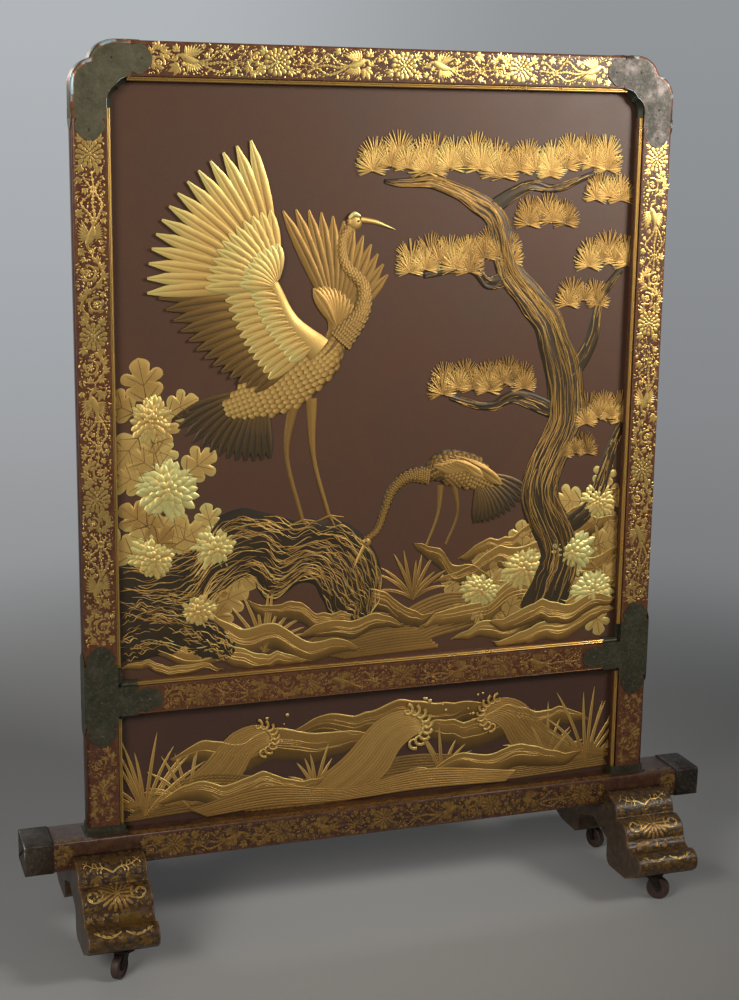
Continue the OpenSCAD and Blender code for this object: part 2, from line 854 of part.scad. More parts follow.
caster_wheel(REAR_LEFT);  // caster_wheel_rear_left
caster_wheel(REAR_RIGHT);  // caster_wheel_rear_right
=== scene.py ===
"""Lacquer screen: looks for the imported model. Sizes are in millimetres until a mesh is made."""
import math
import random

import bpy
import numpy as np
from mathutils import Matrix, Vector


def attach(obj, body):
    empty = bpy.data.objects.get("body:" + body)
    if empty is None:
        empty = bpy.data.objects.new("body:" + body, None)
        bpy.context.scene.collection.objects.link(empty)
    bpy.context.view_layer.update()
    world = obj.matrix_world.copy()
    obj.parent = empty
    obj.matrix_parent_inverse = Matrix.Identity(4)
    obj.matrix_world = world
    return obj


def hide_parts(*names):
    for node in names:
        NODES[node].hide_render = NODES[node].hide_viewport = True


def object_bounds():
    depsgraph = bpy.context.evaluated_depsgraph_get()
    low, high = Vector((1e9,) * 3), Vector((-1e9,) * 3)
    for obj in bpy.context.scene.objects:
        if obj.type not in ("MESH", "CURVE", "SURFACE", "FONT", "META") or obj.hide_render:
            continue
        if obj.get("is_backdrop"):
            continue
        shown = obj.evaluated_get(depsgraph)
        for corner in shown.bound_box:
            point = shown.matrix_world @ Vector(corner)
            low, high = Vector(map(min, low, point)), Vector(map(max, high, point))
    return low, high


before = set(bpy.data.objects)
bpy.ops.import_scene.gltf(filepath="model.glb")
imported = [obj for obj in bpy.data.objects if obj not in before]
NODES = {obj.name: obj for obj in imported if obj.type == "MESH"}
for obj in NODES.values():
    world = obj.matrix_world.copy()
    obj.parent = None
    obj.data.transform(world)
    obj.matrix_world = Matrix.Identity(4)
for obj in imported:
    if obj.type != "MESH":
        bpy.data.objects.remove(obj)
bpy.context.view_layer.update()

MM = 0.001
TURN = 2 * math.pi
rng = random.Random(41)

# Sizes that the pieces share with the solids
BEAM_Z, BEAM_TOP, BEAM_FRONT, BEAM_HALF = 143.2, 192.2, -38.5, 604.8
FRAME_TOP, FRAME_HALF, FACE_Y, BACK_Y = 1440.6, 500.0, -17.5, 17.5
SIGHT_HALF, SIGHT_TOP, FACE_HALF, FACE_TOP = 441.0, 1381.6, 448.0, 1388.6
MID_LOW, MID_HIGH, FACE_MID, STEP_Y = 390.0, 443.5, 436.5, -10.5
FOOT_X, FOOT_HALF = 473.5, 56.5


# Curves and meshes

def curve(points, n):
    """n points on a smooth curve through the given ones"""
    p = np.array(points, float)
    p = np.vstack([2 * p[0] - p[1], p, 2 * p[-1] - p[-2]])
    t = np.linspace(0, len(points) - 1 - 1e-9, n)
    i = t.astype(int)
    f = (t - i)[:, None]
    a, b, c, d = p[i], p[i + 1], p[i + 2], p[i + 3]
    bend = (2 * a - 5 * b + 4 * c - d) * f ** 2
    return 0.5 * (2 * b + (c - a) * f + bend + (3 * b - a - 3 * c + d) * f ** 3)


def turned(points, angle=0.0, at=(0, 0), size=1.0, flip=False):
    """Scales, mirrors, turns and moves points in the plane"""
    p = np.array(points, float) * size
    if flip:
        p = p * [-1, 1]
    c, s = math.cos(angle), math.sin(angle)
    return np.stack([p[:, 0] * c - p[:, 1] * s, p[:, 0] * s + p[:, 1] * c], 1) + np.array(at, float)


def blade_path(root, angle, length, bend=0.0, n=8):
    """A path from a root that turns by bend on its way"""
    a = angle + bend * np.linspace(0, 1, n)
    step = np.stack([np.cos(a), np.sin(a)], 1) * length / (n - 1)
    step[0] = 0
    return np.array(root, float) + np.cumsum(step, 0)


def spiral(at, r0, r1, start, turns, n):
    """A path round a centre, from radius r0 to r1"""
    a = start + np.linspace(0, turns, n) * TURN
    r = np.linspace(1, 0, n) ** 0.8 * (r0 - r1) + r1
    return np.stack([at[0] + r * np.cos(a), at[1] + r * np.sin(a)], 1)


def heading(path, k):
    """Point k of a path, and the angle of the way to the next one"""
    p, q = path[k], path[k + 1]
    return p, math.atan2(q[1] - p[1], q[0] - p[0])


def spread_over(values, n):
    """n values that run evenly through the given ones"""
    return np.interp(np.linspace(0, 1, n), np.linspace(0, 1, len(values)), values)


# Sections of a stroke: place across, height, and change of tone
DOME = [(-1, -0.1, -0.16), (-0.72, 0.62, -0.03), (0, 1, 0.05), (0.72, 0.62, -0.03), (1, -0.1, -0.16)]
VEIN = [(-1, -0.1, -0.05), (-0.8, 0.85, 0.05), (-0.16, 0.8, 0), (0, 0.45, -0.18), (0.16, 0.8, 0),
        (0.8, 0.85, 0.05), (1, -0.1, -0.05)]
FLAT = [(-1, -0.4, 0), (-0.5, 1, 0), (0.5, 1, 0), (1, -0.4, 0)]
SCALE = [(-1, -0.2, -0.1), (-0.5, 0.8, 0.02), (0, 0.7, 0.06), (0.5, 0.8, 0.02), (1, -0.2, -0.1)]


class Relief:
    """Gathers strokes and patches drawn on a surface, and makes one mesh of them"""

    attribute = "tone"

    def __init__(self, place):
        self.place = place
        self.points, self.faces, self.values, self.caps = [], [], [], []
        self.count = 0

    def grid(self, u, v, h, value):
        """A net of faces over rows of points, with a tone or a wear at each"""
        rows, cols = u.shape
        self.points.append(self.place(u.ravel(), v.ravel(), h.ravel()))
        self.values.append(np.broadcast_to(value, (rows, cols)).ravel())
        k = np.arange(rows * cols).reshape(rows, cols) + self.count
        self.faces.append(np.stack([k[:-1, :-1], k[:-1, 1:], k[1:, 1:], k[1:, :-1]], -1).reshape(-1, 4))
        self.count += rows * cols

    def stroke(self, path, half, crest, tone=0.6, end_tone=None, base=0.0, section=DOME):
        """A ribbon along path with a half width, a crest height and a tone at each point"""
        path = np.asarray(path, float)
        n = len(path)
        half = np.broadcast_to(half, n)
        way = np.gradient(path, axis=0)
        way /= np.maximum(np.linalg.norm(way, axis=1), 1e-9)[:, None]
        across, height, shift = np.array(section, float).T
        across = half[:, None] * across
        rise = crest * np.sqrt(np.clip(half / max(half.max(), 1e-9), 0, 1))
        base = np.broadcast_to(base, n)
        end_tone = tone if end_tone is None else end_tone
        self.grid(path[:, 0, None] + way[:, 1, None] * across, path[:, 1, None] - way[:, 0, None] * across,
                  base[:, None] + rise[:, None] * height, np.linspace(tone, end_tone, n)[:, None] + shift)

    def leaf(self, root, angle, length, half, crest, bend=0.0, n=7, **more):
        """A pointed blade from root"""
        s = np.linspace(0, 1, n)
        halves = half * np.sin(np.pi * (0.06 + 0.94 * s) ** 0.8) ** 0.8
        self.stroke(blade_path(root, angle, length, bend, n), halves, crest, **more)

    def patch(self, outline, crest, tone=0.6, edge=-0.15, base=0.0, centre=None, rings=4, power=0.5):
        """A domed form inside a closed outline that its centre sees whole"""
        line = np.asarray(outline, float)
        line = np.vstack([line, line[:1]])
        mid = line[:-1].mean(0) if centre is None else np.array(centre, float)
        s = np.linspace(1, 0, rings + 1)[:, None]
        u, v = mid[0] + (line[:, 0] - mid[0]) * s, mid[1] + (line[:, 1] - mid[1]) * s
        h = base - 0.1 + crest * (1 - s ** 2) ** power
        self.grid(u, v, np.broadcast_to(h, u.shape), tone + edge * s ** 3)

    def disc(self, at, r, crest, tone=0.8, base=0.0, n=12):
        a = np.linspace(0, TURN, n, endpoint=False)
        rim = np.stack([np.cos(a), np.sin(a)], 1) * r + np.array(at, float)
        self.patch(rim, crest, tone, base=base, rings=3)

    def build(self, name, look, slot, replaced=()):
        """Makes one mesh in metres that rides on the screen and takes the place of the nodes named"""
        mesh = bpy.data.meshes.new(name)
        faces = np.concatenate(self.faces).tolist() + self.caps
        mesh.from_pydata((np.concatenate(self.points) * MM).tolist(), [], faces)
        mesh.validate()
        mesh.update()
        mesh.materials.append(look)
        mesh.polygons.foreach_set("use_smooth", [len(face.vertices) <= 4 for face in mesh.polygons])
        value = mesh.attributes.new(self.attribute, "FLOAT", "POINT")
        value.data.foreach_set("value", np.concatenate(self.values).astype(np.float32))
        piece = bpy.data.objects.new(name, mesh)
        bpy.context.scene.collection.objects.link(piece)
        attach(piece, "screen")
        if replaced:
            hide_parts(*replaced)
        return piece


# Materials

class Graph:
    """The nodes of one material, on object coordinates"""

    def __init__(self, name):
        self.material = bpy.data.materials.new(name)
        self.material.use_nodes = True
        self.nodes, self.links = self.material.node_tree.nodes, self.material.node_tree.links
        self.shader = self.nodes["Principled BSDF"]
        self.where = self.nodes.new("ShaderNodeTexCoord").outputs["Object"]

    def feed(self, socket, value):
        """Links a node's output to a socket, or writes a number or colour into it"""
        if isinstance(value, bpy.types.NodeSocket):
            self.links.new(value, socket)
        else:
            socket.default_value = (*value, 1) if isinstance(value, tuple) else value

    def shade(self, values):
        """Feeds the shader's sockets by name"""
        for socket, value in values.items():
            self.feed(self.shader.inputs[socket], value)

    def noise(self, scale, detail=4.0, rough=0.55):
        n = self.nodes.new("ShaderNodeTexNoise")
        for socket, value in (("Scale", scale), ("Detail", detail), ("Roughness", rough),
                              ("Vector", self.where)):
            self.feed(n.inputs[socket], value)
        return n.outputs["Fac"]

    def ramp(self, value, *stops, ease=False):
        """Colours or greys along a value"""
        r = self.nodes.new("ShaderNodeValToRGB")
        r.color_ramp.interpolation = "EASE" if ease else "LINEAR"
        while len(r.color_ramp.elements) < len(stops):
            r.color_ramp.elements.new(0.5)
        for e, (at, c) in zip(r.color_ramp.elements, stops):
            e.position = at
            e.color = (*c, 1) if isinstance(c, tuple) else (c, c, c, 1)
        self.links.new(value, r.inputs["Fac"])
        return r.outputs["Color"]

    def mix(self, share, a, b):
        m = self.nodes.new("ShaderNodeMix")
        m.data_type = "RGBA"
        for socket, value in (("Factor", share), ("A", a), ("B", b)):
            self.feed(m.inputs[socket], value)
        return m.outputs["Result"]

    def calc(self, operation, a, b):
        m = self.nodes.new("ShaderNodeMath")
        m.operation = operation
        self.feed(m.inputs[0], a)
        self.feed(m.inputs[1], b)
        return m.outputs["Value"]

    def carried(self, name):
        """The value that a mesh carries at its points"""
        n = self.nodes.new("ShaderNodeAttribute")
        n.attribute_name = name
        return n.outputs["Fac"]

    def axes(self):
        """The coordinates X, Y and Z"""
        n = self.nodes.new("ShaderNodeSeparateXYZ")
        self.links.new(self.where, n.inputs["Vector"])
        return n.outputs

    def bump(self, height, strength, depth):
        b = self.nodes.new("ShaderNodeBump")
        for socket, value in (("Strength", strength), ("Distance", depth), ("Height", height)):
            self.feed(b.inputs[socket], value)
        self.links.new(b.outputs["Normal"], self.shader.inputs["Normal"])


def lacquer(name, dark, light, worn, rough=0.34, coat=0.25, dust=0.0):
    """Old lacquer: mottled ground, fine specks, a haze of gold dust, and arrises worn through"""
    g = Graph(name)
    cloud, fine = g.noise(9, 5), g.noise(260, 3)
    speck = g.calc("MULTIPLY", g.ramp(fine, (0.4, 0.0), (0.75, 1.0)), 0.22)
    base = g.mix(speck, g.ramp(cloud, (0.32, dark), (0.68, light)), worn)
    if dust:
        haze = g.ramp(g.noise(85, 6, 0.72), (0.42, 0.0), (0.62, dust))
        base = g.mix(haze, base, (0.18, 0.1, 0.03))
    patchy = g.ramp(g.noise(55, 5, 0.65), (0.38, 0.0), (0.66, 1.0))
    base = g.mix(g.calc("MULTIPLY", g.carried("wear"), patchy), base, worn)
    g.shade({"Base Color": base, "Roughness": g.ramp(cloud, (0.3, rough + 0.1), (0.7, rough - 0.04)),
             "Specular IOR Level": 0.4, "Coat Weight": coat, "Coat Roughness": 0.22})
    g.bump(fine, 0.12, 0.0006)
    return g.material


def gold(name, ground, wear=0.0, rough=0.36, metal=0.82, shift=0.0, grit=0.25, low_wear_and_shade=0.0):
    """Gold in tones from black-green through bronze and ochre to pale; wear lets the ground through, more of
    it lower down, where it is partly painted shade
    """
    g = Graph(name)
    broad, fine = g.noise(14, 4), g.noise(420, 3)
    value = g.calc("ADD", g.carried("tone"), shift - 0.12)
    value = g.calc("ADD", value, g.calc("MULTIPLY", broad, 0.16))
    value = g.calc("ADD", value, g.calc("MULTIPLY", fine, 0.1))
    base = g.ramp(value, (0.0, (0.012, 0.012, 0.01)), (0.2, (0.055, 0.036, 0.016)),
                  (0.42, (0.2, 0.11, 0.03)), (0.62, (0.44, 0.245, 0.062)), (0.8, (0.68, 0.44, 0.13)),
                  (0.9, (0.7, 0.56, 0.18)), (1.0, (0.76, 0.7, 0.27)))
    if wear:
        patchy = g.noise(75, 6, 0.7)
        # more ground shows lower down: partly wear, partly painted shade for light that falls off towards
        # the bottom
        if low_wear_and_shade:
            patchy = g.calc("ADD", patchy, g.ramp(g.axes()["Z"], (0.25, low_wear_and_shade), (0.75, 0.0)))
        gone = g.ramp(patchy, (0.62 - wear * 0.3, 0.0), (0.8 - wear * 0.25, 1.0))
        base = g.mix(gone, base, ground)
        metallic = g.ramp(gone, (0.0, metal), (1.0, 0.1))
    else:
        metallic = g.ramp(value, (0.05, 0.25), (0.4, metal))
    g.shade({"Base Color": base, "Metallic": metallic,
             "Roughness": g.ramp(broad, (0.3, rough + 0.08), (0.7, rough - 0.06))})
    g.bump(fine, grit, 0.0005)
    return g.material


def patina(name, tint, pale, rough=0.5, rubbed=(0.3, 0.115, 0.045)):
    """Sheet copper with an olive patina, mottled, rubbed to copper at the arrises with painted pale glints
    where most rubbed, and dark where it is sunk
    """
    g = Graph(name)
    cloud, fine = g.noise(34, 6, 0.7), g.noise(240, 4, 0.6)
    base = g.ramp(cloud, (0.3, tuple(c * 0.55 for c in tint)), (0.5, tint), (0.72, pale))
    base = g.mix(g.ramp(fine, (0.5, 0.0), (0.75, 0.45)), base, (0.2, 0.15, 0.13))
    wear = g.carried("wear")
    bare_and_glint = g.calc("MULTIPLY", wear, g.ramp(g.noise(38, 4, 0.6), (0.4, 0.0), (0.6, 1.0)))
    base = g.mix(g.ramp(bare_and_glint, (0.12, 0.0), (0.4, 1.0)), base, rubbed)
    # painted highlight: the most rubbed places turn pale blue-grey, glints put into the colour
    base = g.mix(g.ramp(bare_and_glint, (0.62, 0.0), (0.8, 1.0)), base, (0.38, 0.5, 0.52))
    base = g.mix(g.calc("MULTIPLY", wear, -1.0), base, (0.036, 0.037, 0.021))
    g.shade({"Base Color": base, "Metallic": 0.5,
             "Roughness": g.ramp(cloud, (0.3, rough + 0.1), (0.7, rough - 0.08))})
    g.bump(fine, 0.35, 0.0008)
    return g.material


def plain(name, dark, light, rough, metal=0.0, scale=60.0):
    g = Graph(name)
    cloud = g.noise(scale, 5, 0.6)
    g.shade({"Base Color": g.ramp(cloud, (0.3, dark), (0.7, light)), "Metallic": metal,
             "Roughness": g.ramp(cloud, (0.3, rough + 0.08), (0.7, rough - 0.08))})
    g.bump(g.noise(scale * 6, 3), 0.3, 0.0006)
    return g.material


# the beam's ground is a darker red than the frame's, as painted shade on the low beam
RED_GROUND, SHADED_BEAM_GROUND, BLACK_GROUND = (0.085, 0.026, 0.012), (0.035, 0.014, 0.007), (0.02, 0.011, 0.007)
red_lacquer = lacquer("red_lacquer", (0.052, 0.015, 0.008), (0.09, 0.025, 0.012), (0.19, 0.075, 0.03),
                      0.34, 0.15, 0.3)
# painted shade: the beam's lacquer is a much darker copy of the frame's red, for the shadow on the low beam
shaded_beam_lacquer = lacquer("shaded_beam_lacquer", (0.026, 0.008, 0.005), (0.05, 0.014, 0.008), (0.13, 0.06, 0.034),
                       0.38, 0.1, 0.28)
black_lacquer = lacquer("black_lacquer", (0.012, 0.007, 0.005), (0.03, 0.015, 0.008), (0.2, 0.095, 0.03),
                        0.38, 0.1, 0.35)
plum_lacquer = lacquer("plum_lacquer", (0.074, 0.035, 0.019), (0.092, 0.043, 0.024), (0.12, 0.065, 0.04),
                       0.4, 0.05)
# painted shade: the lower panel's lacquer is a darker copy of the upper panel's plum, standing in for light
# that falls off lower down
shaded_low_plum = lacquer("low_plum_lacquer", (0.05, 0.024, 0.016), (0.064, 0.03, 0.02), (0.1, 0.055, 0.035),
                   0.42, 0.05)
relief_gold = gold("relief_gold", (0, 0, 0), rough=0.46, metal=0.62, shift=0.02)
frame_gold = gold("frame_gold", RED_GROUND, wear=0.24, shift=0.06, low_wear_and_shade=0.2)
worn_gold = gold("worn_gold", RED_GROUND, wear=0.62, shift=-0.1, rough=0.42)
# painted shade: the beam's gold is darker and wears through to the darkened beam ground
shaded_beam_gold = gold("shaded_beam_gold", SHADED_BEAM_GROUND, wear=0.58, shift=-0.13, rough=0.5)
foot_gold = gold("foot_gold", BLACK_GROUND, wear=0.5, shift=-0.14, rough=0.44)
bead_gold = gold("bead_gold", (0, 0, 0), rough=0.3, shift=0.72, grit=0.06)
mount_metal = patina("mount_metal", (0.046, 0.046, 0.024), (0.085, 0.075, 0.045))
corner_metal = patina("corner_metal", (0.095, 0.088, 0.046), (0.15, 0.135, 0.085))
pale_corner = patina("pale_corner_metal", (0.052, 0.047, 0.035), (0.19, 0.148, 0.135), 0.48,
                     (0.17, 0.075, 0.045))
cap_metal = patina("cap_metal", (0.055, 0.04, 0.024), (0.1, 0.076, 0.05), 0.52, (0.12, 0.085, 0.06))
dark_cap = patina("dark_cap_metal", (0.024, 0.018, 0.012), (0.045, 0.036, 0.026), 0.52, (0.09, 0.06, 0.04))
iron = plain("dark_iron", (0.012, 0.010, 0.009), (0.03, 0.024, 0.02), 0.55, 0.6)
wheel_wood = plain("wheel_wood", (0.03, 0.015, 0.01), (0.075, 0.04, 0.027), 0.5, 0.0, 90)
dowel_wood = plain("dowel_wood", (0.2, 0.12, 0.06), (0.32, 0.2, 0.1), 0.6)

# The look of a node is the first one here whose words are in its name
LOOKS = (("foot_dowels", dowel_wood), ("foot_", black_lacquer), ("lower_panel", shaded_low_plum),
         ("upper_panel", plum_lacquer), ("bead", bead_gold), ("mount", mount_metal), ("shoe", mount_metal),
         ("cap_", mount_metal), ("caster_wheel", wheel_wood), ("caster", iron), ("base_beam", shaded_beam_lacquer),
         ("", red_lacquer))
for name, node in NODES.items():
    node.data.materials.clear()
    node.data.materials.append(next(look for words, look in LOOKS if words in name))


# Gold scrollwork

def front(y):
    """Places a drawing on an upright face that looks to -Y"""
    return lambda u, v, h: np.stack([u, y - h, v], 1)


def top_of(z):
    """Places a drawing on a level face"""
    return lambda u, v, h: np.stack([u, v, z + h], 1)


class Band:
    """A strip of dense scrollwork, drawn along its length and across it"""

    rise = 0.3

    def __init__(self, art, start, angle, length, width, tone):
        self.art, self.start, self.angle, self.tone = art, start, angle, tone
        self.length, self.w = length, width
        self.taken = []

    def put(self, points):
        return turned(points, self.angle, self.start)

    def line(self, points, half, taper=1.0):
        halves = half * np.linspace(1, taper, len(points))
        tone = self.tone + rng.uniform(-0.04, 0.04)
        self.art.stroke(self.put(points), halves, self.rise, tone, section=FLAT)
        self.taken += [(p[0], p[1], h) for p, h in zip(points, halves)]

    def blade(self, at, angle, length, half, bend=0.0):
        tone = self.tone + rng.uniform(-0.04, 0.06)
        root = self.put([at])[0]
        self.art.leaf(root, angle + self.angle, length, half, self.rise, bend, n=5, tone=tone, section=FLAT)
        for t in (0.25, 0.55, 0.85):
            way = angle + bend * t / 2
            run = length * t
            self.taken.append((at[0] + math.cos(way) * run, at[1] + math.sin(way) * run, half * 0.8))

    def frond(self, at, angle, size):
        """A leaf of five lobes"""
        for turn, part, half in ((0, 1.0, 0.24), (0.8, 0.84, 0.22), (-0.8, 0.84, 0.22), (1.7, 0.58, 0.18),
                                 (-1.7, 0.58, 0.18)):
            self.blade(at, angle + turn, size * part, size * half, -0.4 * turn)

    def petal(self, centre, angle, start, end, half):
        """A petal with a round tip, away from a centre"""
        way = np.array([math.cos(angle), math.sin(angle)])
        path = np.array(centre) + way * np.linspace(start, end, 7)[:, None]
        halves = half * np.array([0.4, 0.62, 0.82, 0.96, 1.0, 0.8, 0.2])
        tone = self.tone + rng.uniform(-0.03, 0.06)
        self.art.stroke(self.put(path), halves, self.rise, tone, section=FLAT)
        self.taken += [(p[0], p[1], half) for p in path[1::2]]

    def room(self, p):
        """Free distance round a point, inside the strip"""
        edge = min(self.w / 2 - abs(p[1]), p[0], self.length - p[0])
        t = self.done
        return min(edge + 0.6, float(np.min(np.hypot(t[:, 0] - p[0], t[:, 1] - p[1]) - t[:, 2])))

    def fill_gaps(self, tries, least=1.25):
        """Adds leaves wherever a gap is left, with five lobes in the larger ones"""
        for k in range(tries):
            if k % 12 == 0:
                self.done = np.array(self.taken)
            p = (rng.uniform(0, self.length), rng.uniform(-0.5, 0.5) * self.w)
            r = self.room(p)
            if r > least:
                a = rng.uniform(0, 6.28)
                root = (p[0] - math.cos(a) * r * 0.7, p[1] - math.sin(a) * r * 0.7)
                if r > 3.6:
                    self.frond(root, a, r * 1.8)
                else:
                    self.blade(root, a, r * 2.1, r * 0.55, rng.uniform(-1.4, 1.4))
                self.done = np.vstack([self.done, [(p[0], p[1], r * 0.55)]])

    def wave(self, a, b, sign):
        """One lobe of the vine between two places, with a tendril that fills it"""
        w, size = self.w, b - a
        t = np.linspace(0, 1, 16)
        vine = np.stack([a + t * size, sign * w * 0.34 * np.sin(np.pi * t) ** 0.8], 1)
        self.line(vine, 2.0)
        r = min(w * 0.27, size * 0.34)
        centre = (a + size * 0.5, -sign * w * 0.12)
        start = math.pi * 0.9 * (1 if sign > 0 else -1) + math.pi
        tendril = spiral(centre, r, r * 0.3, start, sign * 1.2, 24)
        self.line(tendril, 1.9, 0.75)
        for k in range(6):
            self.petal(centre, k * 1.047 + 0.3, r * 0.06, r * 0.46, r * 0.13)
        for k in (3, 7, 11, 15):
            p, way = heading(tendril, k)
            self.blade(p, way - sign * 0.9, w * 0.22, w * 0.075, sign * 0.9)
        for k in (2, 6, 10, 13):
            p, way = heading(vine, k)
            self.frond(p, way + sign * 0.9, w * rng.uniform(0.22, 0.27))

    def rosette(self, s):
        """A full flower in front view with leaves round it"""
        r = self.w * 0.46
        petals = ((14, 0.58, 1.0, 0.19), (11, 0.34, 0.64, 0.14), (7, 0.14, 0.4, 0.11))
        for row, (count, start, reach, half) in enumerate(petals):
            for k in range(count):
                self.petal((s, 0.0), (k + 0.5 * row) * TURN / count, r * start, r * reach, r * half)
        self.art.disc(self.put([(s, 0)])[0], r * 0.15, self.rise * 1.5, self.tone + 0.1)
        for a in (0.62, math.pi - 0.62, -0.62, math.pi + 0.62):
            self.frond((s + math.cos(a) * r * 1.12, math.sin(a) * r * 0.98), a * 0.8, self.w * 0.27)

    def plume(self, points, barb):
        """A tail feather with barbs on both sides"""
        path = curve(points, 26)
        self.line(path, 1.7, 0.5)
        for k in range(2, 25, 2):
            p, way = heading(path, k)
            for side in (-1, 1):
                self.blade(p, way + side * 0.75, barb, barb * 0.26, -side * 0.5)

    def bird(self, s, sign):
        """A long-tailed bird in flight; sign gives the way it flies"""
        w = self.w

        def at(x, y):
            return (s + sign * x * w, y * w)

        def way(a):
            return a if sign > 0 else math.pi - a

        body = curve([at(0, -0.06), at(0.22, -0.04), at(0.45, 0.08), at(0.58, 0.16)], 12)
        halves = w * np.interp(np.linspace(0, 1, 12), [0, 0.3, 0.7, 1], [0.05, 0.13, 0.12, 0.05])
        self.art.stroke(self.put(body), halves, self.rise * 2.4, self.tone + 0.04)
        self.taken += [(p[0], p[1], w * 0.1) for p in body]
        self.line(curve([at(0.5, 0.12), at(0.68, 0.12), at(0.74, -0.02), at(0.9, -0.02)], 14), 2.6, 0.7)
        self.blade(at(0.9, -0.02), way(-0.1), w * 0.14, w * 0.03)
        for k in range(3):
            self.blade(at(0.86, 0.0), way(1.7 + 0.45 * k), w * 0.17, w * 0.025, sign * 0.5)
        for k in range(7):
            for x, y, turn, reach, half, bend in (
                    (0.4 - 0.035 * k, 0.1, 1.35 + 0.19 * k, 0.34 + 0.02 * k, 0.052, 0.25),
                    (0.34 - 0.03 * k, -0.06, -1.35 - 0.17 * k, 0.33 + 0.01 * k, 0.05, -0.25)):
                self.blade(at(x, y), way(turn), w * reach, w * half, sign * bend)
        for low, high, reach in ((0.02, 0.3, 1.55), (-0.12, -0.06, 1.75), (-0.26, -0.36, 1.4)):
            self.plume([at(0.02, -0.06), at(-0.35, low), at(-0.72, high), at(-1.1, low * 0.4 - 0.05),
                        at(-reach, high * 0.8)], w * 0.1)

    def fill(self, plan, tries):
        """Draws the motifs at their shares of the length, vines between them, and leaves in the gaps"""
        w = self.w
        spans = []
        for kind, share in plan:
            s = share * self.length
            if kind == "rosette":
                self.rosette(s)
                spans.append((s - w * 0.52, s + w * 0.52))
            else:
                self.bird(s, kind)
                spans.append((s - w * 1.6, s + w * 1.0) if kind > 0 else (s - w * 1.0, s + w * 1.6))
        cursor, sign = 0.0, 1
        for a, b in sorted(spans) + [(self.length, self.length)]:
            count = max(0, round((a - cursor) / (w * 0.92)))
            for k in range(count):
                step = (a - cursor) / count
                self.wave(cursor + k * step, cursor + (k + 1) * step, sign)
                sign = -sign
            cursor = b
        self.fill_gaps(tries)


def row(art, z, start, end, width, tone, plan, tries):
    """A level band from start to end"""
    Band(art, (start, z), 0.0, end - start, width, tone).fill(plan, tries)


# Plans: a motif, a rosette or a bird that flies forwards (1) or back (-1), and its share of the length
FLOWER = "rosette"
STILE_X = (FACE_HALF + FRAME_HALF) / 2

scrolls = Relief(front(FACE_Y))
for side in (-1, 1):
    Band(scrolls, (side * STILE_X, 509.0), math.pi / 2, 793.0, 47.0, 0.7).fill(
        [(side, 0.14), (FLOWER, 0.3), (-side, 0.47), (FLOWER, 0.62), (side, 0.83), (FLOWER, 0.965)], 2600)
    Band(scrolls, (side * STILE_X, 212.0), math.pi / 2, 125.0, 46.0, 0.6).fill([(FLOWER, 0.42)], 700)
row(scrolls, (FACE_TOP + FRAME_TOP) / 2, -383.0, 383.0, 47.0, 0.74,
    [(-1, 0.1), (FLOWER, 0.26), (1, 0.41), (FLOWER, 0.53), (-1, 0.63), (FLOWER, 0.79), (1, 0.94)], 2600)
scrolls.build("frame_scrolls", frame_gold, "gold_bead")

fine = Relief(front(FACE_Y))
row(fine, (MID_LOW + FACE_MID) / 2, -372.0, 372.0, 41.0, 0.66,
    [(FLOWER, 0.08), (1, 0.2), (FLOWER, 0.33), (-1, 0.42), (FLOWER, 0.55), (1, 0.68), (FLOWER, 0.8),
     (-1, 0.9)], 2400)
fine.stroke([(-412, MID_LOW + 1.4), (412, MID_LOW + 1.4)], 0.7, 0.35, 0.5, section=FLAT)
fine.build("rail_scrolls", worn_gold, "gold_bead")

beam_art = Relief(front(BEAM_FRONT))
for start, end, tries, plan in (
        (-416.0, 416.0, 1800, [(FLOWER, 0.06), (1, 0.17), (FLOWER, 0.28), (-1, 0.38), (FLOWER, 0.5),
                               (1, 0.63), (FLOWER, 0.74), (-1, 0.84), (FLOWER, 0.95)]),
        (-558.0, -532.0, 60, []), (532.0, 558.0, 60, [])):
    row(beam_art, (BEAM_Z + BEAM_TOP) / 2, start, end, 43.0, 0.64, plan, tries)
beam_art.build("beam_scrolls", shaded_beam_gold, "gold_bead")

shelf = Relief(top_of(BEAM_TOP))
for start, end in ((-434.0, 434.0), (-556.0, -510.0), (510.0, 556.0)):
    row(shelf, BEAM_FRONT / 2 - 9.0, start, end, 16.0, 0.6, [], int((end - start) * 0.9))
shelf.build("shelf_scrolls", shaded_beam_gold, "gold_bead")


# Wood and sheet metal with rounded, worn arrises

PLACES = {0: lambda u, v, h: np.stack([h, u, v], 1), 1: lambda u, v, h: np.stack([u, h, v], 1),
          2: lambda u, v, h: np.stack([u, v, h], 1)}


def face_loop(node, axis, level):
    """The outline of a node's flat face at a level along an axis, in mm and counter-clockwise"""
    u, v = [k for k in range(3) if k != axis]
    mesh = NODES[node].data
    spots = [tuple(round(c / MM, 2) for c in p.co) for p in mesh.vertices]
    edges = set()
    for face in mesh.polygons:
        ring = [spots[i] for i in face.vertices]
        if all(abs(p[axis] - level) < 0.05 for p in ring):
            for a, b in zip(ring, ring[1:] + ring[:1]):
                a, b = (a[u], a[v]), (b[u], b[v])
                if (b, a) in edges:
                    edges.remove((b, a))
                elif a != b:
                    edges.add((a, b))
    after = dict(sorted(edges))
    best, best_area = None, 0.0
    while after:
        a, b = after.popitem()
        loop = [a]
        while b in after:
            loop.append(b)
            b = after.pop(b)
        p = np.array(loop)
        q = np.roll(p, -1, 0)
        area = float(np.sum(p[:, 0] * q[:, 1] - q[:, 0] * p[:, 1])) / 2
        if abs(area) > abs(best_area):
            best, best_area = p, area
    return best if best_area > 0 else best[::-1]


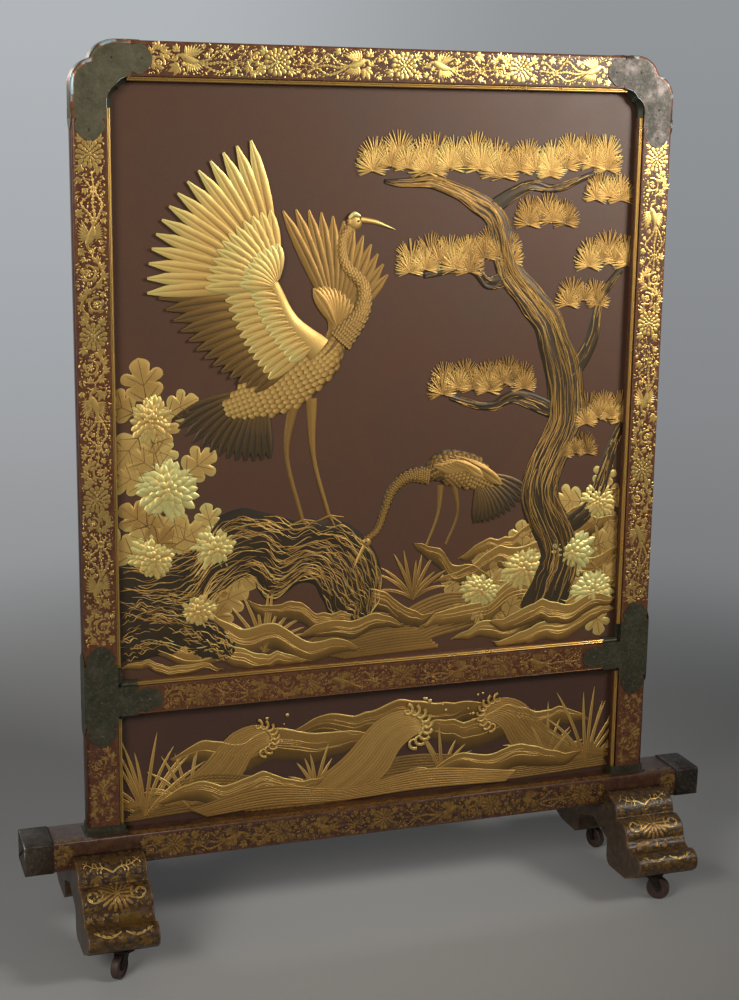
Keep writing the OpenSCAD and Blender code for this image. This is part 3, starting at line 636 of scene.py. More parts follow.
def inset(loop, by):
    """Moves each edge of an outline inwards by its own distance"""
    d = np.roll(loop, -1, 0) - loop
    d /= np.linalg.norm(d, axis=1)[:, None]
    n1 = np.stack([-d[:, 1], d[:, 0]], 1)
    n0, b0, b1 = np.roll(n1, 1, 0), np.roll(by, 1), by
    det = n0[:, 0] * n1[:, 1] - n0[:, 1] * n1[:, 0]
    sharp = np.abs(det) > np.where(np.abs(b0 - b1) < 0.01, 0.03, 0.3)
    det = np.where(sharp, det, 1.0)
    cut = np.stack([(b0 * n1[:, 1] - b1 * n0[:, 1]) / det, (n0[:, 0] * b1 - n1[:, 0] * b0) / det], 1)
    mean = n0 + n1
    mean *= ((b0 + b1) / 2 / np.linalg.norm(mean, axis=1))[:, None]
    return loop + np.where(sharp[:, None], cut, mean)


class Block(Relief):
    """Solids drawn as outlines between two levels along an axis, with wear at their arrises"""

    attribute = "wear"

    def __init__(self, axis):
        super().__init__(PLACES[axis])

    def rings(self, rings, close=(True, True)):
        """Joins outlines of equal length: each is points, level and wear"""
        n = len(rings[0][0])
        for points, level, wear in rings:
            self.points.append(self.place(points[:, 0], points[:, 1], np.broadcast_to(level, n)))
            self.values.append(np.broadcast_to(wear, n))
        k = np.arange(len(rings) * n).reshape(-1, n) + self.count
        after = np.roll(k, -1, 1)
        self.faces.append(np.stack([k[:-1], after[:-1], after[1:], k[1:]], -1).reshape(-1, 4))
        if close[0]:
            self.caps.append(k[0][::-1].tolist())
        if close[1]:
            self.caps.append(k[-1].tolist())
        self.count += len(rings) * n

    def edge(self, loop, level, way, radius, worn, spread, reach):
        """Rings from a face over its rounded arris and down the side, as far as reach"""
        r = np.maximum(radius, np.roll(radius, 1))
        wear = np.maximum(worn, np.roll(worn, 1))
        side = np.minimum(spread, np.maximum(reach - r - 0.2, 0.1))
        rings = [(inset(loop, radius + spread), level, 0 * wear),
                 (inset(loop, radius + spread * 0.3), level, wear * 0.3)]
        for turn in (0, 30, 60, 90):
            s, c = math.sin(math.radians(turn)), math.cos(math.radians(turn))
            rub = 0.7 if turn in (0, 90) else 1.0
            rings.append((inset(loop, radius * (1 - s)), level + way * r * (1 - c), wear * rub))
        return rings + [(loop, level + way * (r + side * 0.3), wear * 0.3),
                        (loop, level + way * (r + side), 0 * wear)]

    def solid(self, loop, low, high, radius, worn, spread=8.0, ends=(True, True)):
        """A closed block; an end that isn't rounded is cut flat"""
        none = np.zeros(len(loop))
        radius, worn = radius + none, worn + none
        reach = (high - low) / 2 if all(ends) else high - low
        front, back = [
            self.edge(loop, level, way, radius, worn, spread, reach) if rounded else [(loop, level, none)]
            for level, way, rounded in ((low, 1, ends[0]), (high, -1, ends[1]))]
        self.rings(front + back[::-1])


OUTER_R, LOBE_R, LOBE_RUN, SHEET = 4.5, 40.0, 27.0, 1.2
INNER_R, INNER_RUN, BEAD_W = 25.0, 11.0, 7.0
LINING_LOW, LINING_IN, ARM_LOW, ARM_IN = 1341.6, 415.5, 1325.6, 409.0


def middles(loop):
    return (loop + np.roll(loop, -1, 0)) / 2


def inside_by(p, e=0.0):
    """Distance of points inside the frame's lobed outline, grown by e"""
    x, z = np.abs(p[:, 0]), p[:, 1]
    qx, qz = x - FRAME_HALF + LOBE_R + LOBE_RUN, z - FRAME_TOP + LOBE_R + LOBE_RUN
    flat = np.minimum(FRAME_HALF - x, FRAME_TOP - z)
    lobes = LOBE_R - np.minimum(np.hypot(qx - LOBE_RUN, qz), np.hypot(qx, qz - LOBE_RUN))
    return np.where((qx > 0) & (qz > 0), lobes, flat) + e


for name in ("left_stile", "right_stile", "top_rail", "mid_rail"):
    wood = Block(1)
    for level, low, high, ends in ((FACE_Y, FACE_Y, STEP_Y, (True, False)),
                                   (BACK_Y, STEP_Y, BACK_Y, (False, True))):
        loop = face_loop(name, 1, level)
        outer = np.abs(inside_by(middles(loop))) < 0.3
        wood.solid(loop, low, high, np.where(outer, OUTER_R, 0.5), np.where(outer, 1.0, 0.45), 5.0, ends)
    wood.build(name + "_wood", red_lacquer, "red_lacquer", [name])

beam = Block(1)
beam.solid(face_loop("base_beam", 1, BEAM_FRONT), BEAM_FRONT, -BEAM_FRONT, 2.5, 1.0, 6.0)
beam.build("base_beam_wood", shaded_beam_lacquer, "red_lacquer", ["base_beam"])


def rounded_box(half_w, low, high, r):
    """A rectangle with rounded corners"""
    points = []
    for cx, cz, start in ((half_w - r, low + r, -90), (half_w - r, high - r, 0), (r - half_w, high - r, 90),
                          (r - half_w, low + r, 180)):
        for a in np.radians(start + np.linspace(0, 90, 5)):
            points.append((cx + r * math.cos(a), cz + r * math.sin(a)))
    return np.array(points)


CAP_L = 46.0
for side, name, look in ((-1, "left", cap_metal), (1, "right", dark_cap)):
    cap = Block(0)
    loop = rounded_box(-BEAM_FRONT + SHEET, BEAM_Z - SHEET, BEAM_TOP + SHEET, 3.4)
    x0, x1 = sorted((side * (BEAM_HALF + SHEET - CAP_L), side * (BEAM_HALF + SHEET)))
    long_edges = np.linalg.norm(np.roll(loop, -1, 0) - loop, axis=1) > 10
    cap.solid(loop, x0, x1, 1.4, np.where(long_edges, 0.7, 1.0), 5.0, (side < 0, side > 0))
    cap.build("beam_cap_%s_metal" % name, look, "copper_mounts", ["beam_cap_" + name])


def cut(piece, x, y, r, top):
    """Takes an upright cylinder out of a piece, from the floor up to top"""
    n = 48
    a = np.linspace(0, TURN, n, endpoint=False)
    verts = [(x + r * c, y + r * s, z) for z in (0.0, top) for c, s in zip(np.cos(a), np.sin(a))]
    faces = [(k, (k + 1) % n, n + (k + 1) % n, n + k) for k in range(n)]
    faces += [list(range(n))[::-1], list(range(n, 2 * n))]
    mesh = bpy.data.meshes.new("cutter")
    mesh.from_pydata([tuple(c * MM for c in p) for p in verts], [], faces)
    tool = bpy.data.objects.new("cutter", mesh)
    bpy.context.scene.collection.objects.link(tool)
    step = piece.modifiers.new("cut", "BOOLEAN")
    step.object, step.solver = tool, "EXACT"
    shape = bpy.data.meshes.new_from_object(piece.evaluated_get(bpy.context.evaluated_depsgraph_get()))
    piece.modifiers.clear()
    piece.data = shape
    bpy.data.objects.remove(tool)


# Place of the swivel axes, and the recess round each plate
FRONT_CASTER, REAR_CASTER, CASTER_X, RECESS_R, PLATE_TOP = -133.0, 106.0, 468.5, 21.3, 48.5
TOE_Y, ARCH_HALF, ARCH_TOP = 120, 76, 112
for side, name in ((-1, "left"), (1, "right")):
    foot = Block(0)
    foot_loop = face_loop("foot_" + name, 0, side * (FOOT_X + FOOT_HALF))
    y, z = middles(foot_loop).T
    foot_loop = inset(foot_loop, np.where((np.abs(y) > TOE_Y) & (z < ARCH_TOP), 0.4, 0.0))
    y, z = middles(foot_loop).T
    notch = (np.abs(y) < -BEAM_FRONT + 0.1) & (z > BEAM_Z - 0.1)
    arch = (np.abs(y) < ARCH_HALF) & (z < ARCH_TOP)
    radius = np.where(notch, 0.2, np.where(arch, 1.0, 2.4))
    worn = np.where(notch, 0.0, np.where(arch, 0.4, 1.0))
    foot.solid(foot_loop, side * FOOT_X - FOOT_HALF, side * FOOT_X + FOOT_HALF, radius, worn, 6.0)
    piece = foot.build("foot_%s_wood" % name, black_lacquer, "black_lacquer", ["foot_" + name])
    for caster_y in (FRONT_CASTER, REAR_CASTER):
        cut(piece, side * CASTER_X, caster_y, RECESS_R, PLATE_TOP)


# Sheet metal round the upper corners

def lobes(e, n=9):
    """The inner corner of the face at offset e, from the stile round to the top rail"""
    r = INNER_R - e
    bx, bz = FACE_HALF - INNER_R - INNER_RUN, FACE_TOP - INNER_R - INNER_RUN
    t = (INNER_RUN + math.sqrt(2 * r * r - INNER_RUN ** 2)) / 2
    end = math.atan2(t, t - INNER_RUN)
    first = [(bx + INNER_RUN + r * math.cos(a), bz + r * math.sin(a)) for a in np.linspace(0, end, n)]
    second = [(bx + r * math.cos(a), bz + INNER_RUN + r * math.sin(a))
              for a in np.linspace(math.pi / 2 - end, math.pi / 2, n)]
    return np.array([(FACE_HALF - e, LINING_LOW)] + first + second + [(LINING_IN, FACE_TOP - e)])


def sweep(block, section, side):
    """A strip along the inner corner through points of offset, depth and wear"""
    rows = np.array([lobes(e) * [side, 1] for e, y, wear in section])
    h = np.array([np.full(rows.shape[1], y) for e, y, wear in section])
    block.grid(rows[:, :, 0], rows[:, :, 1], h, np.array([wear for e, y, wear in section])[:, None] + 0 * h)


def tongue_shape(r, back):
    """A strip with a round end that points down"""
    a = np.linspace(math.pi, TURN, 13)
    return np.vstack([np.stack([r * np.cos(a), r * np.sin(a)], 1), [(r, back), (-r, back)]])


# A sheet's face and how far it wraps the frame, and the tongues that end it on the frame's sides
SHEET_Y, WRAP = FACE_Y - SHEET, 18.6
TONGUE = tongue_shape(16.6, 14.0)
TONGUE_FOOT, TONGUE_TOP = 0.4, SHEET - 0.05


def corner_sheet(side, name, look, rim_wear):
    """The sheet that wraps one upper corner: front, back, lining and two tongues"""
    replaced = ["corner_mount_" + name]
    shell = Block(1)
    for level, way in ((SHEET_Y, 1), (-SHEET_Y, -1)):
        loop = face_loop(replaced[0], 1, level)
        outer = np.abs(inside_by(middles(loop), SHEET)) < 0.3
        loop = loop[outer | np.roll(outer, 1) | (inside_by(loop, SHEET) > OUTER_R + SHEET + 0.2)]
        outer = np.abs(inside_by(middles(loop), SHEET)) < 0.3
        rings = shell.edge(loop, level, way, np.where(outer, OUTER_R + SHEET, 0.5),
                           np.where(outer, 1.0, rim_wear), 1.2, np.full(len(loop), WRAP))
        inner_only = ~(outer | np.roll(outer, 1))
        depth = np.where(inner_only, np.where(inside_by(loop) < 7.0, 10.0, SHEET + 0.2), -SHEET_Y)
        rings = rings[:-2] + [(loop, level + way * np.minimum(depth, 9.0), np.where(outer, 0.35, 0.1)),
                              (loop, level + way * depth, np.where(outer, 0.25, 0.1))]
        shell.rings(rings, (True, False))
    bead_end = BEAD_W + SHEET
    sweep(shell, [(0.5, SHEET_Y, 0.1), (0.2, SHEET_Y - 0.35, 0.8), (0.7, SHEET_Y - 0.6, 1.5),
                  (1.2, SHEET_Y - 0.3, 1.0), (1.2, SHEET_Y + 0.6, -1.0), (1.2, STEP_Y - SHEET, -1.0),
                  (bead_end, STEP_Y - SHEET, -1.0), (bead_end, 0.0, -1.0)], side)
    sweep(shell, [(bead_end, 9.0, 0.0), (bead_end, -SHEET_Y, 0.0)], side)
    shell.build("corner_mount_%s_sheet" % name, look, "copper_mounts", replaced)
    tongue = Block(0)
    x0, x1 = sorted((side * (FRAME_HALF - TONGUE_FOOT), side * (FRAME_HALF + TONGUE_TOP)))
    tongue.solid(TONGUE + [0, ARM_LOW + 0.3], x0, x1, 0.4, 0.3, 2.0, (side < 0, side > 0))
    tongue.build("mount_side_tongue_" + name, look, "copper_mounts", replaced)
    over = Block(2)
    tip = TONGUE[:, ::-1] * [side, 1] + [side * (ARM_IN + 0.3), 0]
    over.solid(tip if side < 0 else tip[::-1], FRAME_TOP - TONGUE_FOOT, FRAME_TOP + TONGUE_TOP, 0.4, 0.3,
               2.0, (False, True))
    over.build("mount_top_tongue_" + name, look, "copper_mounts", replaced)


corner_sheet(-1, "left", corner_metal, 0.3)
# the right sheet's inner edges are rubbed further, so they also take the painted pale glints
corner_sheet(1, "right", pale_corner, 0.9)


# Gilded beads with two reeds

REED_R, REED_MIDS, REED_LIFT = 1.6, (1.9, 5.1), 2.4
reeds_section = [(0.3, 0.0)]
for centre in REED_MIDS:
    for a in np.linspace(0, math.pi, 7):
        reeds_section.append((centre - REED_R * math.cos(a), REED_LIFT + REED_R * math.sin(a)))
reeds_section = np.array(reeds_section + [(6.7, 0.0)])


def bead(block, start, end, across):
    """A bead from start to end on its step; across points from its sight edge to the face edge"""
    offset, height = reeds_section.T
    start, end, across = (np.array(p, float) for p in (start, end, across))
    shares = np.linspace(0, 1, max(2, int(np.linalg.norm(end - start) / 10)))
    rows = np.array([start + (end - start) * t + offset[:, None] * across for t in shares])
    h = np.array([STEP_Y - height] * len(shares))
    block.grid(rows[:, :, 0], rows[:, :, 1], h, np.where(height > 3.0, 0.15, 0.0)[None, :] + 0 * h)


RIDGE_IN, RIDGE_HIGH, RIDGE_LOW = 415.0, 469.5, 383.0
beads = Block(1)
bead(beads, (-LINING_IN, SIGHT_TOP), (LINING_IN, SIGHT_TOP), (0, 1))
bead(beads, (-RIDGE_IN, FACE_MID + 7.0), (RIDGE_IN, FACE_MID + 7.0), (0, -1))
for side in (-1, 1):
    for low, high in ((RIDGE_HIGH, LINING_LOW), (BEAM_TOP, RIDGE_LOW)):
        bead(beads, (side * SIGHT_HALF, low), (side * SIGHT_HALF, high), (side, 0))
beads.build("gold_beads", bead_gold, "gold_bead",
            ["upper_bead_top", "upper_bead_bottom", "upper_bead_left", "upper_bead_right",
             "lower_bead_left", "lower_bead_right"])


# Gold on the feet

def front_profile(loop):
    """The foot's front from the beam over the two lobes and the toe, 1 mm apart"""
    def nearest(y, z):
        return int(np.argmin(np.hypot(loop[:, 0] - y, loop[:, 1] - z)))
    n, top, end = len(loop), nearest(BEAM_FRONT, 168.5), nearest(-172.0, 59.5)
    ways = [np.roll(loop, -top, 0)[:(end - top) % n + 1],
            np.roll(loop[::-1], top + 1, 0)[:(top - end) % n + 1]]
    path = min(ways, key=lambda way: way[:, 0].max())
    at = np.concatenate([[0], np.cumsum(np.linalg.norm(np.diff(path, axis=0), axis=1))])
    v = np.arange(0, at[-1], 1.0)
    return np.stack([np.interp(v, at, path[:, 0]), np.interp(v, at, path[:, 1])], 1)


profile = front_profile(foot_loop)
slope = np.gradient(profile, axis=0)
slope = np.stack([np.convolve(np.pad(slope[:, k], 3, "edge"), np.ones(7) / 7, "valid") for k in (0, 1)], 1)
slope /= np.linalg.norm(slope, axis=1)[:, None]
profile_out = np.stack([slope[:, 1], -slope[:, 0]], 1)
if profile_out[60, 0] > 0:
    profile_out = -profile_out


def on_profile(u, v, h):
    """Places a drawing on a foot's front, where v runs down its profile"""
    i = np.arange(len(profile))
    y, z, out_y, out_z = (np.interp(v, i, values) for values in (*profile.T, *profile_out.T))
    return np.stack([u, y + out_y * h, z + out_z * h], 1)


def foot_front(art, x):
    """A vine, a full flower between two scrolls, a vine over the toe, and leaves in the gaps"""
    reach = len(profile) - 14.0
    band = Band(art, (x - 52.0, 4 + reach / 2), 0.0, 104.0, reach, 0.9)

    def spot(across, down):
        return (52 + across, down - 4 - reach / 2)

    for side in (-1, 1):
        stem = curve([spot(0, 52), spot(side * 14, 43), spot(side * 28, 42), spot(side * 46, 30)], 18)
        band.line(stem, 1.9, 0.5)
        for k in (6, 9, 12, 15):
            p, way = heading(stem, k)
            for turn in (-0.9, 0.8):
                twig = blade_path(p, way + turn, 13 - 0.4 * k, turn * 0.5, 6)
                band.line(twig, 1.2, 0.5)
                band.blade(twig[3], way + turn * 1.9, 6, 1.0)
        scroll = spiral(spot(side * 36, 100), 14, 4, math.pi * (side > 0) + side * 0.6, -side * 1.2, 22)
        band.line(scroll, 1.8, 0.6)
        toe = curve([spot(side * 4, reach - 31), spot(side * 18, reach - 23), spot(side * 32, reach - 25),
                     spot(side * 46, reach - 34)], 20)
        band.line(toe, 1.7, 0.6)
        for path in (scroll, toe):
            for k in (3, 7, 11, 15):
                p, way = heading(path, k)
                band.blade(p, way - side * 0.9, 9, 1.9, side * 0.8)
    band.tone = 0.72
    for count, start, end, half in ((18, 17, 31, 3.2), (13, 9, 20, 2.8), (8, 3, 11, 2.2)):
        for k in range(count):
            band.petal(spot(0, 99), k * TURN / count, start, end, half)
    art.disc(band.put([spot(0, 99)])[0], 5.0, 0.7, 0.8)
    band.tone = 0.56
    band.fill_gaps(1200, 2.4)


feet_art = Relief(on_profile)
for side in (-1, 1):
    foot_front(feet_art, side * FOOT_X)
feet_art.build("foot_scrolls", foot_gold, "gold_bead")


# Raised gold picture: cranes under an old pine, with chrysanthemums beside a stream

def rounded_half(half, n=8):
    """Half widths of a feather or petal, broad towards a round tip"""
    s = np.linspace(0, 1, n)
    return half * np.sin(np.pi * (0.1 + 0.89 * s) ** 1.5) ** 0.6


def along(path, t):
    """The point and direction at share t of a path"""
    k = t * (len(path) - 1)
    i = min(int(k), len(path) - 2)
    p, way = heading(path, i)
    return p + (path[i + 1] - p) * (k - i), way


class Bird:
    """Draws feathers, limbs and plumage in a bird's own plane, feet at the origin and facing +X"""

    def __init__(self, art, at, size, flip=False):
        self.art, self.size = art, size
        self.put = lambda points: turned(points, 0.0, at, size, flip)

    def limb(self, points, halves, crest, tone, base=0.0, end_tone=None):
        n = 5 * len(points)
        widths = spread_over(halves, n) * self.size
        self.art.stroke(self.put(curve(points, n)), widths, crest, tone, end_tone, base)

    def fan(self, roots, angles, lengths, count, half, base, step, tone, end_tone, bend=0.1):
        """Feathers from a line of roots, each lying on the one before; angles in degrees"""
        angles = np.radians(np.linspace(*angles, count))
        lengths = np.linspace(*lengths, count)
        for k, (root, angle, length) in enumerate(zip(curve(roots, count), angles, lengths)):
            path = blade_path(root, angle, length, bend)
            halves = rounded_half(half) * self.size
            self.art.stroke(self.put(path), halves, 1.1, tone, end_tone, base + step * k, VEIN)

    def plumage(self, spine, halves, crest, tone, scale):
        """A domed body covered with small feathers that lie back along it"""
        n, dark = 24, 0.3
        path = curve(spine, n)
        widths = spread_over(halves, n)
        self.art.stroke(self.put(path), widths * self.size, crest, tone - dark)
        rows = int(np.linalg.norm(np.diff(path, axis=0), axis=1).sum() / (scale * 0.6))
        feather = scale * self.size * np.array([0.2, 0.34, 0.42, 0.36, 0.08])
        for row in range(rows - 1, -1, -1):
            t = (row + 0.3) / (rows + 0.6)
            p, way = along(path, t)
            w = np.interp(t, np.linspace(0, 1, n), widths)
            count = max(2, int(w * 2 / (scale * 0.62)))
            for k in range(count):
                a = (k + 0.5 + 0.5 * (row % 2)) / (count + 0.5) * 2 - 1
                a = max(-0.94, min(0.94, a))
                root = p + w * a * np.array([-math.sin(way), math.cos(way)])
                lift = crest * math.sqrt(w / max(widths) * (1 - a * a)) * 0.96
                lifts = np.linspace(lift - 0.3, lift + 0.35, 5)
                down = self.put(blade_path(root, way - a * 0.3, scale, 0.0, 5))
                self.art.stroke(down, feather, 0.36, tone - dark, tone + 0.16, lifts, SCALE)

    def head(self, at, r, crest, tone):
        self.art.patch(self.put(spiral(at, r, r, 0, 0.96, 14)), crest, tone)


def tall_crane(art, at, size, flip):
    """A crane that stands with both wings raised"""
    b = Bird(art, at, size, flip)
    far_wing_and_tail = (
        ([(26, 262), (40, 282)], (40, 112), (128, 176), 12, 9.5, 0.0, 0.1, 0.4, 0.52, 0.12),
        ([(28, 262), (40, 280)], (48, 118), (62, 62), 9, 9.5, 1.0, 0.1, 0.5, 0.6),
        ([(-84, 190), (-60, 178)], (186, 262), (118, 84), 13, 8.5, 0.5, 0.12, 0.3, 0.16, 0.35))
    for fan in far_wing_and_tail:
        b.fan(*fan)
    b.limb([(-20, 172), (-30, 96), (-6, 0)], [9, 3.6, 3.2], 2.2, 0.45)
    b.limb([(6, 178), (10, 92), (34, 4)], [9, 3.4, 3.0], 2.2, 0.5, 0.6)
    for x, y in ((-6, 2), (34, 6)):
        for a in (-0.15, -0.6, 3.5, -1.1):
            b.limb([(x, y), (x + 22 * math.cos(a), y + 22 * math.sin(a))], [2.4, 1.0], 1.4, 0.5, 1.0)
    b.plumage([(52, 268), (24, 238), (-24, 206), (-74, 182), (-118, 166)], [10, 33, 43, 34, 10],
              4.4, 0.66, 13.0)
    b.plumage([(66, 424), (50, 398), (54, 366), (80, 336), (78, 298), (46, 258)], [8, 7.5, 8.5, 11, 15, 22],
              4.2, 0.56, 7.0)
    b.head((68, 424), 11, 5.5, 0.75)
    b.limb([(76, 428), (100, 424), (128, 414)], [4.6, 3.4, 0.5], 3.5, 0.7, 1.0, 0.9)
    b.limb([(58, 430), (66, 436), (75, 433)], [2.0, 3.4, 1.5], 1.2, 0.95, 5.2)
    b.art.disc(b.put([(72, 426)])[0], 1.7 * size, 0.8, 0.02, 5.6)
    near_wing = (
        ([(-46, 352), (-56, 334)], (96, 176), (186, 172), 14, 10.5, 3.0, 0.14, 0.5, 0.86, 0.16),
        ([(-54, 330), (-30, 284), (-2, 250)], (178, 214), (158, 96), 13, 10.5, 3.4, 0.14, 0.56, 0.3, 0.14),
        ([(-46, 350), (-56, 336)], (92, 176), (92, 92), 12, 9.5, 5.0, 0.1, 0.62, 0.84, 0.12),
        ([(-52, 330), (-28, 284), (0, 250)], (176, 212), (72, 72), 12, 9.5, 5.2, 0.1, 0.62, 0.82),
        ([(-44, 348), (-52, 336)], (88, 172), (48, 48), 9, 8.5, 6.2, 0.08, 0.66, 0.9),
        ([(-50, 332), (-26, 286), (4, 252)], (172, 208), (38, 38), 11, 8.5, 6.4, 0.08, 0.66, 0.9))
    for fan in near_wing:
        b.fan(*fan)
    b.limb([(-52, 340), (-26, 286), (16, 246)], [9, 13, 20], 4.5, 0.72, 4.0)


def low_crane(art, at, size, flip):
    """A crane with folded wings that lowers its head to the water"""
    b = Bird(art, at, size, flip)
    b.limb([(-12, 104), (-20, 52), (0, 0)], [7, 3.0, 2.6], 2, 0.42)
    b.limb([(12, 104), (16, 52), (38, -6)], [7, 3.0, 2.6], 2, 0.46, 0.4)
    b.fan([(-66, 118), (-52, 96)], (188, 258), (92, 62), 12, 8, 0.4, 0.12, 0.3, 0.16, 0.4)
    b.plumage([(44, 122), (8, 134), (-40, 124), (-84, 104)], [12, 31, 32, 8], 5.0, 0.54, 11.0)
    b.plumage([(146, 16), (124, 34), (112, 64), (98, 100), (70, 122), (34, 122)], [6.5, 6.5, 7.5, 9, 12, 17],
              4.0, 0.5, 6.5)
    b.fan([(24, 142), (-10, 152), (-44, 138)], (196, 212), (96, 66), 9, 9, 3.6, 0.16, 0.42, 0.66)
    b.fan([(28, 138), (0, 146), (-24, 140)], (190, 210), (46, 46), 9, 8.5, 5.0, 0.12, 0.5, 0.72)
    b.head((142, 14), 9, 4.5, 0.62)
    b.limb([(147, 8), (158, -14), (166, -32)], [4.0, 2.8, 0.5], 3, 0.66, 0.8, 0.8)
    b.art.disc(b.put([(144, 14)])[0], 1.5 * size, 0.7, 0.02, 4.4)


def chrysanthemum(art, at, r, tone, tilt, flat):
    """A full flower of incurved petals in four rows"""
    rows = ((21, 0.22, 1.0, 0.15, 0.2, 1.5), (17, 0.18, 0.8, 0.14, 1.2, 1.5),
            (13, 0.12, 0.58, 0.13, 2.2, 1.5), (8, 0.03, 0.36, 0.12, 3.2, 1.4))
    for count, start, end, half, base, crest in rows:
        for k in range(count):
            a = (k + rng.uniform(-0.2, 0.2)) * TURN / count + base
            reach = (end - start) * rng.uniform(0.88, 1.06)
            root = (start * math.cos(a), start * math.sin(a))
            path = blade_path(root, a, reach, rng.uniform(-0.35, 0.35), 7)
            art.stroke(turned(path * [1, flat], tilt, at, r), rounded_half(half * r, 7), crest, tone - 0.3,
                       tone + 0.04, base + rng.uniform(-0.2, 0.3))
    art.disc(at, r * 0.09, 1.2, tone, 4.0)


def kiku_leaf(art, at, angle, size, tone=0.68, base=0.0):
    """A leaf with round lobes, a raised rim and sunk veins"""
    edge = [(0, 0.02), (0.1, 0.1), (0.16, 0.3), (0.3, 0.4), (0.42, 0.34), (0.42, 0.2), (0.52, 0.42),
            (0.66, 0.44), (0.74, 0.32), (0.68, 0.18), (0.84, 0.22), (0.94, 0.14), (1.0, 0.0)]
    half = curve(edge, 30)
    outline = np.vstack([half, half[::-1][1:-1] * [1, -1]])
    middle = turned([(0.5, 0)], angle, at, size)[0]
    art.patch(turned(outline, angle, at, size), 1.3, tone, 0.12, base, middle, 5, 0.6)
    for tip in ((0.94, 0.0), (0.36, 0.3), (0.36, -0.3), (0.68, 0.32), (0.68, -0.32)):
        start = (max(0.06, tip[0] - 0.26), 0) if tip[1] else (0.0, 0)
        vein = turned(curve([start, tip], 6), angle, at, size)
        art.stroke(vein, np.linspace(0.7, 0.25, 6), 0.35, tone - 0.3, None, base + 1.15)


def spray(art, stem, flowers, leaves, size):
    """A chrysanthemum stem with its leaves and flowers"""
    path = curve(stem, 24)
    art.stroke(path, np.linspace(2.2, 1.4, 24), 1.4, 0.5)
    for k in range(leaves):
        p, way = along(path, (k + 0.6) / (leaves + 0.6))
        kiku_leaf(art, p, way + (0.9 if k % 2 else -0.9) + rng.uniform(-0.3, 0.3),
                  size * rng.uniform(0.85, 1.15), rng.uniform(0.55, 0.75), 0.4)
    for (x, y), r, tone in flowers:
        for a in (0.4, 1.6, 2.8, 4.0, 5.2):
            a += rng.uniform(-0.35, 0.35)
            kiku_leaf(art, (x + r * 0.6 * math.cos(a), y + r * 0.6 * math.sin(a)), a,
                      size * rng.uniform(0.8, 1.1), rng.uniform(0.6, 0.8))
        chrysanthemum(art, (x, y), r, tone, rng.uniform(0, 3), rng.uniform(0.78, 0.95))


def needles(art, at, r, tone, base):
    """A tuft of pine needles that fans upwards"""
    count = int(r * 0.95)
    for k in range(count):
        a = math.radians(-22 + 224 * (k + 0.5) / count) + rng.uniform(-0.05, 0.05)
        length = r * (0.74 + 0.26 * math.sin(a)) * rng.uniform(0.9, 1.05)
        path = blade_path(at, a, length, rng.uniform(-0.12, 0.12), 4)
        halves = np.array([1.0, 1.25, 1.1, 0.4])
        art.stroke(path, halves, 1.0, tone - 0.22, tone + 0.14, base + rng.uniform(0, 0.6))
    art.disc(at, 2.2, 1.6, tone, base)


def pine_pad(art, at, width, r, tone):
    """A level cloud of tufts in two layers"""
    count = max(2, int(width / (r * 0.62)))
    for layer, lift in ((0, 0.42), (1, 0.0)):
        n = count - (1 - layer)
        for k in range(n):
            u = (k + 0.5) / n * 2 - 1
            x = at[0] + u * width / 2
            y = at[1] + r * lift - abs(u) * r * 0.35 + rng.uniform(-3, 3)
            size = r * rng.uniform(0.85, 1.05)
            shade = tone + rng.uniform(-0.08, 0.08) - 0.06 * (1 - layer)
            needles(art, (x, y), size, shade, 1.0 + 0.8 * layer)


def wobble(n, size, wave):
    """Smooth random values along n steps"""
    knots = max(4, int(n / wave))
    return spread_over([rng.uniform(-size, size) for k in range(knots)], n)


def crag(art, first, last, crest, lines, base=0.0, tone=0.1, line_tone=0.66, n=72, grain=1.0):
    """Dark rock or bark between two edges, with fine wavy gold lines that follow it"""
    a, b = curve(first, n), curve(last, n)
    across = (b - a) / np.maximum(np.linalg.norm(b - a, axis=1), 1e-6)[:, None]
    width = float(np.median(np.linalg.norm(b - a, axis=1)))
    a = a - across * wobble(n, 0.05 * width, 3)[:, None]
    b = b + across * wobble(n, 0.05 * width, 3)[:, None]
    t = np.linspace(0, 1, 15)
    s = np.arange(n)

    def height(s, t):
        ripple = np.sin(t * 17 * grain + 1.5 * np.sin(s * 0.23)) * 0.13 + np.sin(t * 7 + s * 0.17) * 0.1
        return base - 0.1 + crest * np.sqrt(np.clip(1 - (2 * t - 1) ** 4, 0, 1)) * (0.8 + ripple)

    net = a[:, None] + (b - a)[:, None] * t[:, None]
    h = height(s[:, None], t[None, :])
    art.grid(net[..., 0], net[..., 1], h, tone + 0.12 * (h - h.mean()) / crest)
    for k in range(lines):
        long = rng.uniform(0.06, 0.17) * n
        s0, t0 = rng.uniform(0, n - 1 - long), rng.uniform(0.03, 0.97)
        q = np.linspace(s0, s0 + long, 10)
        tq = np.clip(t0 + 0.022 * np.sin(q * rng.uniform(0.7, 1.3) + k) + wobble(10, 0.02, 3), 0.01, 0.99)
        line = [np.interp(q, s, a[:, axis]) * (1 - tq) + np.interp(q, s, b[:, axis]) * tq for axis in (0, 1)]
        half = rng.uniform(0.45, 1.05) * np.array([0.3, 0.8, 1, 0.8, 0.6, 0.9, 1, 0.8, 0.6, 0.2])
        shade = line_tone + rng.uniform(-0.16, 0.14)
        art.stroke(np.stack(line, 1), half, 0.55, shade, None, height(q, tq) + 0.1, FLAT)


def bough(art, points, halves, crest, lines):
    """A limb of the tree"""
    n = 10 * len(points)
    path = curve(points, n)
    way = np.gradient(path, axis=0)
    way /= np.linalg.norm(way, axis=1)[:, None]
    side = np.stack([-way[:, 1], way[:, 0]], 1) * spread_over(halves, n)[:, None]
    crag(art, path + side, path - side, crest, lines, 0.0, 0.14, 0.56, n, 0.7)


